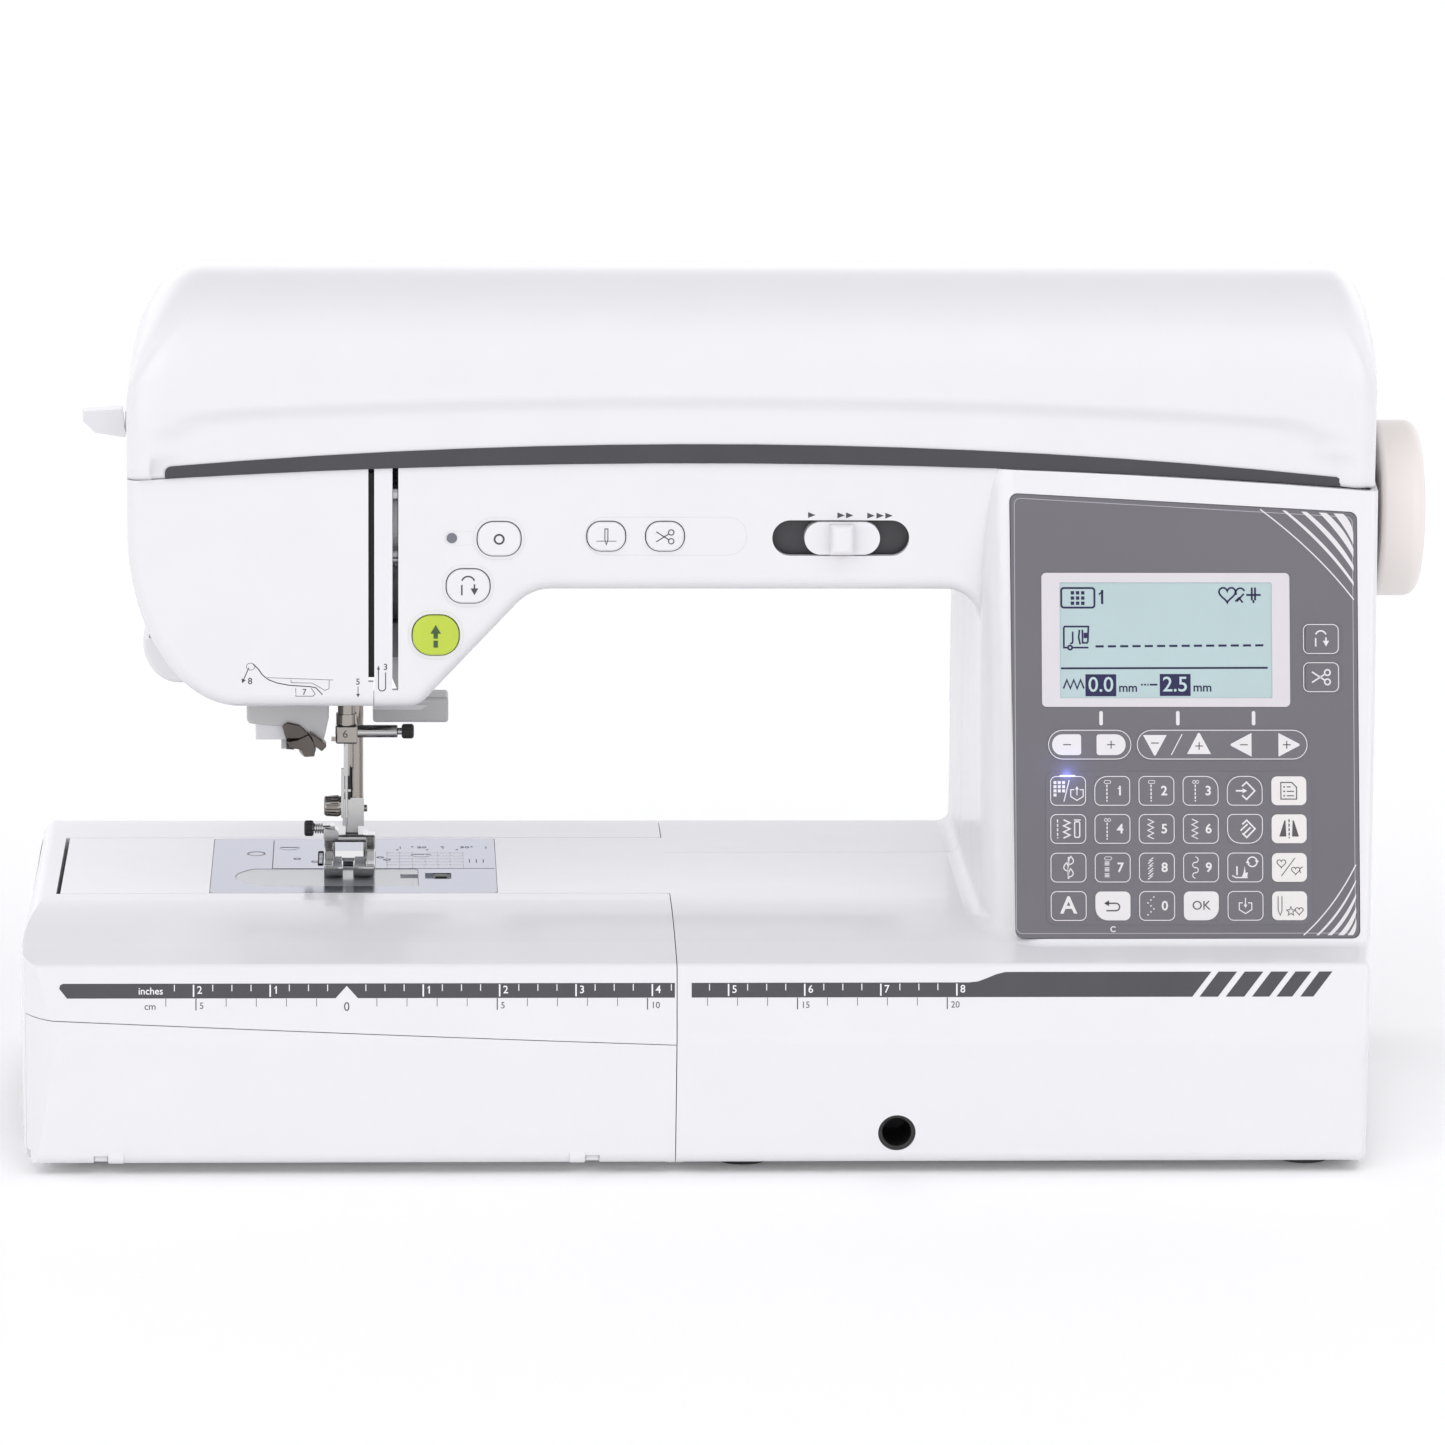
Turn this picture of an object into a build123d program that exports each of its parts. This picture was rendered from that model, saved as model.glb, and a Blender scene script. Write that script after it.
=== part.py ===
from build123d import *

import os
from math import atan2, cos, degrees, pi, sin, sqrt

# Computerised household sewing machine: free arm with a slide-off accessory table, arm and column in
# moulded covers, hinged top lid, needle and presser mechanism, rotary hook and drive.
# Frame: +X to the right along the arm, +Y to the back, +Z up, millimetres.
# Origin: on the table plane, below the centre of the machine's overall box.

# ---- driving dimensions -----------------------------------------------------------------------------
HALF_WIDTH = 240.0  # accessory table's left side, and the handwheel's outer face
FRONT_Y = -118.0  # foremost line of the base
BACK_Y = 118.0  # back of the folded carrying handle
WALL = 2.6  # moulded cover thickness
GAP = 0.3  # clearance between neighbouring covers

BED_Z = 80.0  # sewing surface
BED_LIP_Y, BED_LIP_Z = -113.0, 72.0  # front top edge of the bed
RULER_FOOT_Z = 48.0  # where the ruler face meets the lower front face
BASE_FRONT_Y = -112.5  # lower front face at the floor
BED_BACK_Y = 75.0
BASE_Z = 3.0  # underside of the covers; the feet reach down to 0
SEAM_X = -18.0  # joint between accessory table and body
SPLIT_Y = 20.0  # joint between front and rear covers

COLUMN_X = 86.0  # throat side of the column
COLUMN_TOP_Y, COLUMN_TOP_Z = -53.5, 230.0  # column front at the lid
COLUMN_FOOT_Y, COLUMN_FOOT_Z = -96.0, 77.0  # column front at the bed
RIGHT_X = 224.0  # widest point of the right side
HEAD_X = -202.0  # left side of the head
ARM_FRONT_Y, ARM_BACK_Y = -52.0, 88.0
ARM_UNDER_Z = 187.0
HEAD_UNDER_Z = 146.5
COVER_TOP_Z = 240.0
PARTING_POINTS = [(-206.0, 224.3), (-1.5, 231.0), (228.0, 221.5)]  # lid joint seen from the front
CREST_Y, CREST_Z = -5.0, 290.6
LID_BACK_Y = 78.7  # the lid's rear edge; the rear cover rises behind it
LID_HINGE_Z = 250.0

ARM_TIP_X = -225.8  # left end of the free arm
FREE_Y0, FREE_Y1 = -42.0, 43.0
FREE_UNDER_Z = 22.0
PLATE_X0, PLATE_X1 = -175.0, -77.0
PLATE_Y = 41.0  # needle plate half depth
PLATE_T = 1.8
FEED_ROWS = (-9.0, -5.5, 5.5, 9.0)  # feed teeth left and right of the needle
PLATE_SCREWS = ((-148.7, 27.8), (-102.8, 16.9))
TABLE_X1 = SEAM_X - GAP
DOOR_SEAM = [(-233.6, 54.5), (-128.0, 50.0), (-15.6, 45.7)]  # upper edge of the table's door
DOOR_AXIS_Y, DOOR_AXIS_Z = -110.5, 6.6

NEEDLE_X, NEEDLE_Y = -128.6, 0.0
PRESSER_X, PRESSER_Y = -125.8, 8.5
BAR_R = 3.0
SHAFT_Y, SHAFT_Z, SHAFT_R = 0.0, 206.5, 6.0
LOWER_Z, LOWER_R = 36.0, 4.0
MOTOR_Y, MOTOR_Z = 8.0, 120.0
PULLEY_X0, PULLEY_X1 = 176.0, 188.0
PULLEY_R, MOTOR_PULLEY_R = 24.0, 10.0
HOOK_Y, HOOK_R = -17.0, 15.5
LOWER_GEAR_R, HOOK_GEAR_R = 10.9, 5.45  # the hook turns twice per shaft turn
WHEEL_R = 30.3
CORNER_R = 13.0  # lower corners of the base seen from the front
RUN = 0.05  # radial clearance of a shaft in its bearing
SLOT_CUTS = [(-120.9, -118.9), (-112.8, -110.8)]  # thread slots left and right of the channel cover
SLOT_LOW_Z = [155.7, 152.9]

SWITCH_X = 219.7  # pivot of the mains rocker

HANDLE_Y, HANDLE_Z = 110.0, 214.0
HANDLE_HALF = 66.0
HANDLE_DROP = 56.0

PANEL_X0, PANEL_X1 = 95.0, 212.1
PANEL_T = 2.2
PANEL_SINK = 2.0
PANEL_LEFT_H, PANEL_RIGHT_H = 149.8, 143.4
KEY_W, KEY_H = 11.8, 9.6
KEY_COLUMNS = [114.0 + 14.9 * i for i in range(6)]
KEY_ROWS = [10.8 + 12.9 * i for i in range(4)]
BEZEL = (105.4, 189.2, 77.8, 123.0)  # left, right, foot and top on the panel
SCREEN = (111.5, 183.2, 80.7, 119.8)

# push buttons on the arm: name, centre x, centre z, width, height
BUTTONS = [
    ("start_stop_button", -98.2, 171.9, 15.6, 13.6),
    ("reverse_button", -87.3, 188.8, 14.5, 11.5),
    ("reinforcement_button", -76.9, 205.0, 14.5, 11.5),
    ("needle_position_button", -40.8, 205.9, 12.8, 9.9),
    ("thread_cutter_button", -21.0, 205.9, 12.8, 9.9),
]
SLIDER_X0, SLIDER_X1, SLIDER_Z, SLIDER_H = 15.2, 61.5, 205.3, 12.2
LAMP_X, LAMP_Z, LAMP_R = -92.8, 205.2, 1.75
KNEE_X, KNEE_Z, KNEE_BORE_R = 55.9, 14.4, 4.9


# ---- helpers ----------------------------------------------------------------------------------------
def block(x0, x1, y0, y1, z0, z1):
    """Box between two corners."""
    return Pos((x0 + x1) / 2, (y0 + y1) / 2, (z0 + z1) / 2) * Box(x1 - x0, y1 - y0, z1 - z0)


def rod(axis, at, radius, low, high):
    """Cylinder along X, Y or Z from low to high; at holds the other two coordinates in order."""
    mid, length = (low + high) / 2, high - low
    if axis == "X":
        return Pos(mid, at[0], at[1]) * Rot(0, 90, 0) * Cylinder(radius, length)
    if axis == "Y":
        return Pos(at[0], mid, at[1]) * Rot(90, 0, 0) * Cylinder(radius, length)
    return Pos(at[0], at[1], mid) * Cylinder(radius, length)


def along_x(sketch, x0, x1):
    """Solid of a sketch drawn in (y, z)."""
    return extrude(Plane.YZ.offset(x0) * sketch, amount=x1 - x0)


def along_y(sketch, y0, y1):
    """Solid of a sketch drawn in (x, z)."""
    return extrude(Plane.XZ.offset(-y1) * sketch, amount=y1 - y0)


def along_z(sketch, z0, z1):
    """Solid of a sketch drawn in (x, y)."""
    return extrude(Plane.XY.offset(z0) * sketch, amount=z1 - z0)


def edges_inside(shape, x=(-999, 999), y=(-999, 999), z=(-999, 999)):
    """Edges whose whole bounding box lies within the given limits."""
    found = []
    for edge in shape.edges():
        box = edge.bounding_box()
        lows, highs = box.min, box.max
        in_x = x[0] <= lows.X and highs.X <= x[1]
        in_y = y[0] <= lows.Y and highs.Y <= y[1]
        if in_x and in_y and z[0] <= lows.Z and highs.Z <= z[1]:
            found.append(edge)
    return found


def soft_block(x0, x1, y0, y1, z0, z1, radius):
    """Box with every edge rounded."""
    solid = block(x0, x1, y0, y1, z0, z1)
    return fillet(solid.edges(), radius)


def below_curve(points, shift, floor_z, y0=-130, y1=130):
    """Solid region under the arc through three (x, z) points, moved up by shift."""
    start, middle, end = [(x, z + shift) for x, z in points]
    with BuildSketch() as sk:
        with BuildLine():
            Line((-270, start[1]), start)
            ThreePointArc(start, middle, end)
            Polyline(end, (270, end[1]), (270, floor_z), (-270, floor_z), (-270, start[1]))
        make_face()
    return along_y(sk.sketch, y0, y1)


# ---- outer form of the covers -----------------------------------------------------------------------
def arm_form(t=0.0):
    """Head and arm: straight left side, elliptical chin, slanted cheek, flat underside."""
    left, under, chin = HEAD_X + t, ARM_UNDER_Z + t, HEAD_UNDER_Z + t
    chin_rx, chin_rz = 38.0 - t, 60.0 - t
    right = 150.0
    side_z = chin + chin_rz
    cheek_shift = 0.6 * t
    with BuildSketch() as sk:
        with BuildLine():
            Line((left, COVER_TOP_Z), (left, side_z))
            EllipticalCenterArc((left + chin_rx, side_z), chin_rx, chin_rz, start_angle=180, arc_size=90)
            FilletPolyline(
                (left + chin_rx, chin),
                (-104.0 - cheek_shift, chin),
                (-66.0 - cheek_shift, under),
                (COLUMN_X + t, under),
                (COLUMN_X + t, 120.0),
                (right, 120.0),
                (right, COVER_TOP_Z),
                radius=(8.0, 16.0, 12.0, 1.0, 1.0),
            )
            Line((right, COVER_TOP_Z), (left, COVER_TOP_Z))
        make_face()
    solid = along_y(sk.sketch, ARM_FRONT_Y + t, ARM_BACK_Y - t)
    if t > 0:
        return solid
    rim = edges_inside(solid, x=(-300, 149), y=(ARM_FRONT_Y - 1, ARM_FRONT_Y + 1), z=(121, COVER_TOP_Z))
    rim += edges_inside(solid, x=(-300, 149), y=(ARM_BACK_Y - 1, ARM_BACK_Y + 1), z=(121, COVER_TOP_Z))
    rim = [e for e in rim if e.center(CenterOf.BOUNDING_BOX).Z < COVER_TOP_Z - 1]
    return fillet(rim, 5.0)


def column_form(t=0.0):
    """Column: its front face leans back from the bed to the lid, its front left corner is round."""
    lean = (COLUMN_TOP_Y - COLUMN_FOOT_Y) / (COLUMN_TOP_Z - COLUMN_FOOT_Z)
    foot_z = 40.0 + t
    right = RIGHT_X + 5
    back = ARM_BACK_Y - 1.1 * t
    plans = []
    for z, corner in ((foot_z, 26.0), (COVER_TOP_Z, 10.0)):
        front = COLUMN_TOP_Y - lean * (COLUMN_TOP_Z - z) + t
        with BuildSketch(Plane.XY.offset(z)) as sk:
            with BuildLine():
                FilletPolyline(
                    (right, back),
                    (COLUMN_X + t, back),
                    (COLUMN_X + t, front),
                    (right, front),
                    radius=(8.0, corner),
                )
                Line((right, front), (right, back))
            make_face()
        plans.append(sk.sketch)
    return loft(plans, ruled=True)


def column_foot_form(t=0.0):
    """Lower back of the column, straight down to the floor."""
    low = BASE_Z if t == 0 else -5.0
    foot = block(COLUMN_X + t, RIGHT_X + 5, -60, ARM_BACK_Y - t, low, 44 + t)
    rear_left = edges_inside(foot, x=(COLUMN_X - 1, COLUMN_X + t + 0.1), y=(80, 90)).pop()
    return fillet(rear_left, 8.0)


def base_form(x0, x1, t=0.0):
    """Base between two x positions: ruler face, gently falling bed, lower front leaning in."""
    floor_z = BASE_Z if t == 0 else BASE_Z - 8
    with BuildSketch() as sk:
        with BuildLine():
            FilletPolyline(
                (BED_BACK_Y - t, floor_z),
                (BASE_FRONT_Y + t, floor_z),
                (FRONT_Y + t, RULER_FOOT_Z),
                (BED_LIP_Y + t, BED_LIP_Z - 0.8 * t),
                (-95.0, 75.6 - t),
                radius=(5.0, 12.0, 3.0),
            )
            ThreePointArc((-95.0, 75.6 - t), (-68.0, 79.2 - t), (FREE_Y0, BED_Z - t))
            FilletPolyline(
                (FREE_Y0, BED_Z - t), (BED_BACK_Y - t, BED_Z - t), (BED_BACK_Y - t, floor_z), radius=(5.0,)
            )
        make_face()
    return along_x(sk.sketch, x0, x1)


def crown_form(t=0.0):
    """Top of the machine: full-width lid form, rounded over front, back and both ends."""
    front, back = ARM_FRONT_Y - 0.5 + t, ARM_BACK_Y - t
    with BuildSketch() as side:
        with BuildLine():
            Line((front, 210.0), (front, 247.0))
            Line((front, 247.0), (front - 2.5, 252.5))
            Spline(
                (front - 2.5, 252.5),
                (CREST_Y, CREST_Z - t),
                (back, 236.0),
                tangents=[(0.02, 1.0), (1.0, 0.0), (0.15, -1.0)],
                tangent_scalars=[1.0, 1.0, 1.0],
            )
            Line((back, 236.0), (back, 210.0))
            Line((back, 210.0), (front, 210.0))
        make_face()
    left, right, top = HEAD_X + t, RIGHT_X - 1.0 - t, CREST_Z + 2 - t
    with BuildSketch() as face:
        with BuildLine():
            Line((left, 210.0), (left, top - 40.0))
            EllipticalCenterArc((left + 25.0, top - 40.0), 25.0, 40.0, start_angle=180, arc_size=-90)
            Line((left + 25.0, top), (right - 16.0, top))
            EllipticalCenterArc((right - 16.0, top - 30.0), 16.0, 30.0, start_angle=90, arc_size=-90)
            Line((right, top - 30.0), (right, 210.0))
            Line((right, 210.0), (left, 210.0))
        make_face()
    return along_x(side.sketch, left - 5, right + 5) & along_y(face.sketch, front - 10, back + 10)


def plan_form(t=0.0, z0=-10.0, z1=320.0):
    """Slightly bowed sides of the machine seen from above."""
    right = RIGHT_X - t
    with BuildSketch() as sk:
        with BuildLine():
            ThreePointArc((right - 11.0, -119.0), (right - 4.0, -52.0), (right, 20.0))
            ThreePointArc((right, 20.0), (right + 0.3, 60.0), (right - 0.8, 100.0))
            Line((right - 0.8, 100.0), (-260.0, 100.0))
            Line((-260.0, 100.0), (-260.0, -119.0))
            Line((-260.0, -119.0), (right - 11.0, -119.0))
        make_face()
    return along_z(sk.sketch, z0, z1)


def body_form():
    """Outer form of head, arm, column and right-hand base."""
    body = arm_form() + column_form() + base_form(SEAM_X, RIGHT_X + 5)
    body = body & plan_form()
    foot = edges_inside(body, x=(COLUMN_X - 1, 217), y=(-97, 76), z=(75, 80.3))
    body = fillet(foot, 5.0)
    right_front = edges_inside(body, x=(212, 223), y=(-98, -50), z=(76, 241))
    body = fillet(right_front, 2.5) + (column_foot_form() & plan_form())
    outline = block(-400, RIGHT_X + 0.5, -130, 100, BASE_Z, 245)
    return body & fillet(outline.edges().filter_by(Axis.Y), CORNER_R)


def inner_form():
    """Hollow inside the covers, open at the floor."""
    body = arm_form(WALL) + column_form(WALL) + column_foot_form(WALL)
    body = body + base_form(SEAM_X + WALL, RIGHT_X + 5, WALL)
    return (body + crown_form(WALL)) & plan_form(WALL)


def lid_region(shift=0.0):
    """Region above the parting arc and in front of the lid's rear edge."""
    above = block(-260, 260, -130, LID_BACK_Y - shift, 215, 300)
    return above - below_curve(PARTING_POINTS, shift, 200)


# ---- panel plane ------------------------------------------------------------------------------------
LEAN = atan2(COLUMN_TOP_Y - COLUMN_FOOT_Y, COLUMN_TOP_Z - COLUMN_FOOT_Z)
PANEL_PLANE = Plane(
    origin=(0, COLUMN_FOOT_Y, COLUMN_FOOT_Z), x_dir=(1, 0, 0), z_dir=(0, -cos(LEAN), sin(LEAN))
)


def on_panel(sketch, low, high):
    """Solid of a sketch drawn on the column's leaning front, between two heights above it."""
    return extrude(PANEL_PLANE.offset(low) * sketch, amount=high - low)


def panel_outline(grow=0.0):
    """Operation panel: its top edge follows the lid joint."""
    with BuildSketch() as sk:
        with BuildLine():
            FilletPolyline(
                (PANEL_X0 - grow, PANEL_LEFT_H + grow),
                (PANEL_X0 + 1.2 - grow, -grow),
                (PANEL_X1 + grow, -grow),
                (PANEL_X1 + grow, PANEL_RIGHT_H + grow),
                (PANEL_X0 - grow, PANEL_LEFT_H + grow),
                radius=2.7,
                close=False,
            )
        make_face()
    return sk.sketch


def panel_box(x0, x1, s0, s1, radius):
    """Rounded rectangle on the panel plane."""
    return Pos((x0 + x1) / 2, (s0 + s1) / 2) * RectangleRounded(x1 - x0, s1 - s0, radius)


# ---- covers -----------------------------------------------------------------------------------------
def button_outline(x, z, width, height, grow=0.0):
    """Rounded outline of a push button on the arm's front."""
    w, h = width + 2 * grow, height + 2 * grow
    return Pos(x, z) * RectangleRounded(w, h, 0.46 * h)


def head_opening():
    """Opening under the head for needle bar, presser bar, threader and presser lever."""
    return block(-165, -108, -34, 50, HEAD_UNDER_Z - 6, HEAD_UNDER_Z + 6)


def shaft_openings():
    """Clearance through the covers for the drive: handwheel side and free-arm side."""
    wheel_side = rod("X", (SHAFT_Y, SHAFT_Z), SHAFT_R + 2, 215, 230)
    arm_side = block(SEAM_X - 1, SEAM_X + 4, -14, 43, 25, 50)
    return wheel_side + arm_side


def socket_openings():
    """Windows in the covers for connectors and switches."""
    inlet = block(214, 230, 40, 70, 20, 42)
    switch = block(214, 230, 33.4, 44.6, 47, 63)
    jack = rod("X", (60, 54), 5.0, 214, 230)
    feed_switch = block(6, 34, BED_BACK_Y - 4, BED_BACK_Y + 1, 41.5, 50.5)
    knee = rod("Y", (KNEE_X, KNEE_Z), 6.3, FRONT_Y - 2, FRONT_Y + 12)
    return inlet + switch + jack + feed_switch + knee


def vents():
    """Cooling slots in the rear cover, each narrower than a finger."""
    cut = Part()
    for i in range(9):
        cut += block(118 + 9 * i, 121 + 9 * i, ARM_BACK_Y - 6, ARM_BACK_Y + 2, 96, 126)
    return cut


def front_cutouts():
    """Holes in the front cover: buttons, slider, lamp, panel seat."""
    cut = Part()
    for _, x, z, width, height in BUTTONS:
        cut += along_y(button_outline(x, z, width, height, 0.35), ARM_FRONT_Y - 3, ARM_FRONT_Y + 6)
    slider = Pos((SLIDER_X0 + SLIDER_X1) / 2, SLIDER_Z) * SlotOverall(SLIDER_X1 - SLIDER_X0, SLIDER_H)
    cut += along_y(slider, ARM_FRONT_Y - 3, ARM_FRONT_Y + 6)
    cut += rod("Y", (LAMP_X, LAMP_Z), LAMP_R, ARM_FRONT_Y - 3, ARM_FRONT_Y + 6)
    cut += on_panel(panel_outline(0.25), -PANEL_SINK, 12)
    return cut


def lever_slots():
    """Slots for the threader lever's stem and for the presser lever."""
    threader = block(HEAD_X - 4, HEAD_X + 12, -1.9, 1.9, 186, 243.5)
    return threader + block(-110, -90, 27, 45.5, 140, 162)


def make_shells():
    """Skins of body and crown, before they are parted into covers."""
    inner = inner_form()
    cuts = shaft_openings() + socket_openings() + head_opening() + lever_slots()
    return body_form() - inner - cuts, (crown_form() & plan_form()) - inner - cuts


def make_front_cover(shell):
    x0 = SLOT_CUTS[1][1]
    region = block(x0, 260, -130, SPLIT_Y - GAP / 2, 0, 300)
    under = block(SLOT_CUTS[0][1], x0, -130, SPLIT_Y - GAP / 2, 0, SLOT_LOW_Z[1])
    inside_strip = block(SLOT_CUTS[0][1], x0, ARM_FRONT_Y + 10, SPLIT_Y - GAP / 2, 0, 300)
    cover = shell & (region + under + inside_strip)
    cover = cover - lid_region(-GAP / 2) - front_cutouts()
    return cover


def make_channel_cover(shell):
    """Strip between the two thread slots."""
    x0, x1 = SLOT_CUTS[0][1], SLOT_CUTS[1][0]
    region = block(x0, x1, -130, ARM_FRONT_Y + 10 - GAP, SLOT_LOW_Z[1], 300)
    return (shell & region) - lid_region(-GAP / 2)


def make_face_cover(shell):
    x1 = SLOT_CUTS[0][0]
    region = block(-260, x1, -130, SPLIT_Y - GAP / 2, 0, 300)
    below = block(x1 - 1, SLOT_CUTS[0][1] - GAP, -130, SPLIT_Y - GAP / 2, 0, SLOT_LOW_Z[0])
    cover = (shell & (region + below)) - lid_region(-GAP / 2)
    return cover


def make_rear_cover(shell, crown):
    whole = (shell - block(-260, 260, -130, 130, 236, 300)) + (crown & block(-260, 260, 0, 130, 236, 300))
    cover = (whole & block(-260, 260, SPLIT_Y + GAP / 2, 130, 0, 300)) - lid_region(-GAP / 2)
    cover = cover - block(-260, 260, LID_BACK_Y - 0.1, LID_BACK_Y + 0.9, 236, 300) - vents()
    # brackets and pins of the carrying handle
    for side in (-1, 1):
        x = side * (HANDLE_HALF + 11)
        bracket = block(x - 4, x + 4, ARM_BACK_Y - 1, HANDLE_Y + 7, HANDLE_Z - 8, HANDLE_Z + 8)
        ends = edges_inside(bracket, y=(HANDLE_Y, HANDLE_Y + 8))
        ends = [e for e in ends if e.bounding_box().size.X > 7]
        bracket = fillet(ends, 6.0)
        pin = rod("X", (HANDLE_Y, HANDLE_Z), 3.0, min(x, x - side * 14), max(x, x - side * 14))
        cover = cover + bracket + pin
    cover = cover + switch_bearings()
    # the ridge steps down along the lid's rear edge, so that the opening lid clears it
    cover = cover - block(-260, 260, LID_BACK_Y - 1, LID_BACK_Y + 4.8, LID_HINGE_Z + 1, 300)
    # two lid hinge pins, held in notches of the rear ridge
    for x in (-150, 160):
        cover = cover - block(x - 9, x + 9, LID_BACK_Y - 1, LID_BACK_Y + 10, LID_HINGE_Z - 6, 262)
        cover = cover + rod("X", (LID_BACK_Y + 3, LID_HINGE_Z), 1.5, x - 10, x + 10)
    return cover


def make_top_cover(crown):
    """Lid with its hinge lugs; the trim strip's seat is cut along the lower front edge."""
    lid = crown & lid_region(GAP / 2)
    lid = lid - trim_form(0.0)
    lid = lid - block(HEAD_X - 5, HEAD_X + 12, -3.4, 9.0, 215, 244.5)
    for x in (-150, 160):
        lug = block(x - 6, x + 6, LID_BACK_Y - 4, LID_BACK_Y + 3, LID_HINGE_Z - 3.5, LID_HINGE_Z + 3.5)
        barrel = rod("X", (LID_BACK_Y + 3, LID_HINGE_Z), 3.5, x - 6, x + 6)
        lug = lug + barrel - rod("X", (LID_BACK_Y + 3, LID_HINGE_Z), 1.5 + RUN, x - 7, x + 7)
        lid = lid + lug
    return lid


def trim_form(front_proud):
    """Dark strip let into the lid's lower front edge, tapering towards both ends."""
    y0, y1 = ARM_FRONT_Y - 0.5 - front_proud, ARM_FRONT_Y + 1.0
    left_x, right_x = -189.0, 208.0
    upper = [(-186.8, 229.7), (-1.5, 237.5), (205.1, 226.6)]
    strip = below_curve(upper, 0.0, 215) - below_curve(PARTING_POINTS, GAP / 2, 200)
    strip = strip & block(left_x, right_x, y0, y1, 215, 245)
    # rounded upper corner at each end
    radius = 2.0
    for end_x, centre_x, top_z in ((left_x, left_x + radius, 229.6), (right_x, right_x - radius, 226.3)):
        low_x, high_x = sorted((end_x, centre_x))
        corner = block(low_x, high_x, y0, y1, top_z - radius, top_z + 3)
        strip = strip - (corner - rod("Y", (centre_x, top_z - radius), radius, y0, y1))
    return strip


def make_free_arm_cover():
    outer = block(ARM_TIP_X, SEAM_X, FREE_Y0, FREE_Y1, FREE_UNDER_Z, BED_Z)
    tip = edges_inside(outer, x=(ARM_TIP_X - 0.1, ARM_TIP_X + 0.1))
    lower = [e for e in tip if e.center().Z < FREE_UNDER_Z + 1]
    outer = fillet(lower, 12.0)
    y0, y1 = FREE_Y0 + WALL, FREE_Y1 - WALL
    inner = block(ARM_TIP_X + WALL, SEAM_X + 1, y0, y1, FREE_UNDER_Z + WALL, BED_Z - WALL)
    arm = outer - inner
    seat = block(PLATE_X0 - 0.2, PLATE_X1 + 0.2, -PLATE_Y - 0.2, PLATE_Y + 0.2, BED_Z - PLATE_T, BED_Z + 1)
    opening = block(PLATE_X0 + 3, PLATE_X1 - 3, FREE_Y0 + WALL, FREE_Y1 - WALL, BED_Z - 6, BED_Z + 1)
    return arm - seat - opening


def make_bottom_plate():
    plate = block(SEAM_X + WALL + 0.3, 216, BASE_FRONT_Y + WALL + 3, BED_BACK_Y - WALL - 0.4, BASE_Z, 6)
    side = plan_form(WALL + 0.4)
    return plate & side


def make_rubber_feet():
    feet = Part()
    for x in (5, 195):
        for y in (-92, 58):
            feet += rod("Z", (x, y), 9.0, 0, BASE_Z)
    return feet


# ---- operation panel --------------------------------------------------------------------------------
def make_panel_frame():
    frame = on_panel(panel_outline(), -PANEL_SINK, PANEL_T - PANEL_SINK)
    x0, x1, s0, s1 = BEZEL
    return frame - on_panel(panel_box(x0 - 0.05, x1 + 0.05, s0 - 0.05, s1 + 0.05, 1.6), -0.8, 1)


def make_display_bezel():
    x0, x1, s0, s1 = BEZEL
    ring = on_panel(panel_box(x0, x1, s0, s1, 1.6), -0.8, 0.5)
    x0, x1, s0, s1 = SCREEN
    return ring - on_panel(panel_box(x0, x1, s0, s1, 0.6), -0.3, 1)


def make_display_glass():
    x0, x1, s0, s1 = SCREEN
    return on_panel(panel_box(x0, x1, s0, s1, 0.6), -0.3, 0.1)


def make_key_pads():
    """Membrane key pads: one thin printed sheet with a raised pad under each key."""
    level = PANEL_T - PANEL_SINK
    pads = on_panel(panel_box(106.5, 196.0, 4.5, 56.0, 3.0), level, level + 0.15)
    for x in KEY_COLUMNS:
        for s in KEY_ROWS:
            pads += on_panel(panel_box(x - KEY_W / 2, x + KEY_W / 2, s - KEY_H / 2, s + KEY_H / 2, 1.8),
                             level, level + 0.35)
    # two pill shaped key fields under the display and two keys at its right
    for x0, x1 in ((107.5, 135.3), (137.4, 194.8)):
        pads += on_panel(panel_box(x0, x1, 60.2, 69.9, 4.6), level, level + 0.3)
    for s0 in (82.7, 95.7):
        pads += on_panel(panel_box(194.6, 206.5, s0, s0 + 9.9, 1.8), level, level + 0.3)
    return pads


# ---- controls on the arm ----------------------------------------------------------------------------
def make_button(x, z, width, height):
    """Push button: slightly domed cap that passes through the front cover."""
    cap = along_y(button_outline(x, z, width, height), ARM_FRONT_Y - 1.2, ARM_FRONT_Y + 5.0)
    rim = edges_inside(cap, y=(ARM_FRONT_Y - 1.3, ARM_FRONT_Y - 1.1))
    return fillet(rim, 0.8)


def make_status_lamp():
    return rod("Y", (LAMP_X, LAMP_Z), LAMP_R, ARM_FRONT_Y - 0.3, ARM_FRONT_Y + 4)


def make_speed_slider():
    """Sliding knob with a vertical finger ridge."""
    z0, z1 = SLIDER_Z - 5.6, SLIDER_Z + 5.6
    plate = Pos(38.8, SLIDER_Z) * SlotOverall(25.5, 11.2)
    knob = along_y(plate, ARM_FRONT_Y - 0.6, ARM_FRONT_Y + 4.4)
    ridge = block(34.6, 42.6, ARM_FRONT_Y - 5.5, ARM_FRONT_Y, z0 + 0.4, z1 - 0.4)
    ridge = fillet(edges_inside(ridge, y=(ARM_FRONT_Y - 6, ARM_FRONT_Y - 5)), 2.2)
    return knob + ridge


def make_slider_track():
    """Dark guide behind the slider slot."""
    x0, x1 = SLIDER_X0 - 3, SLIDER_X1 + 3
    track = block(x0, x1, ARM_FRONT_Y + 4.8, ARM_FRONT_Y + 7, SLIDER_Z - 9, SLIDER_Z + 9)
    return track


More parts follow.
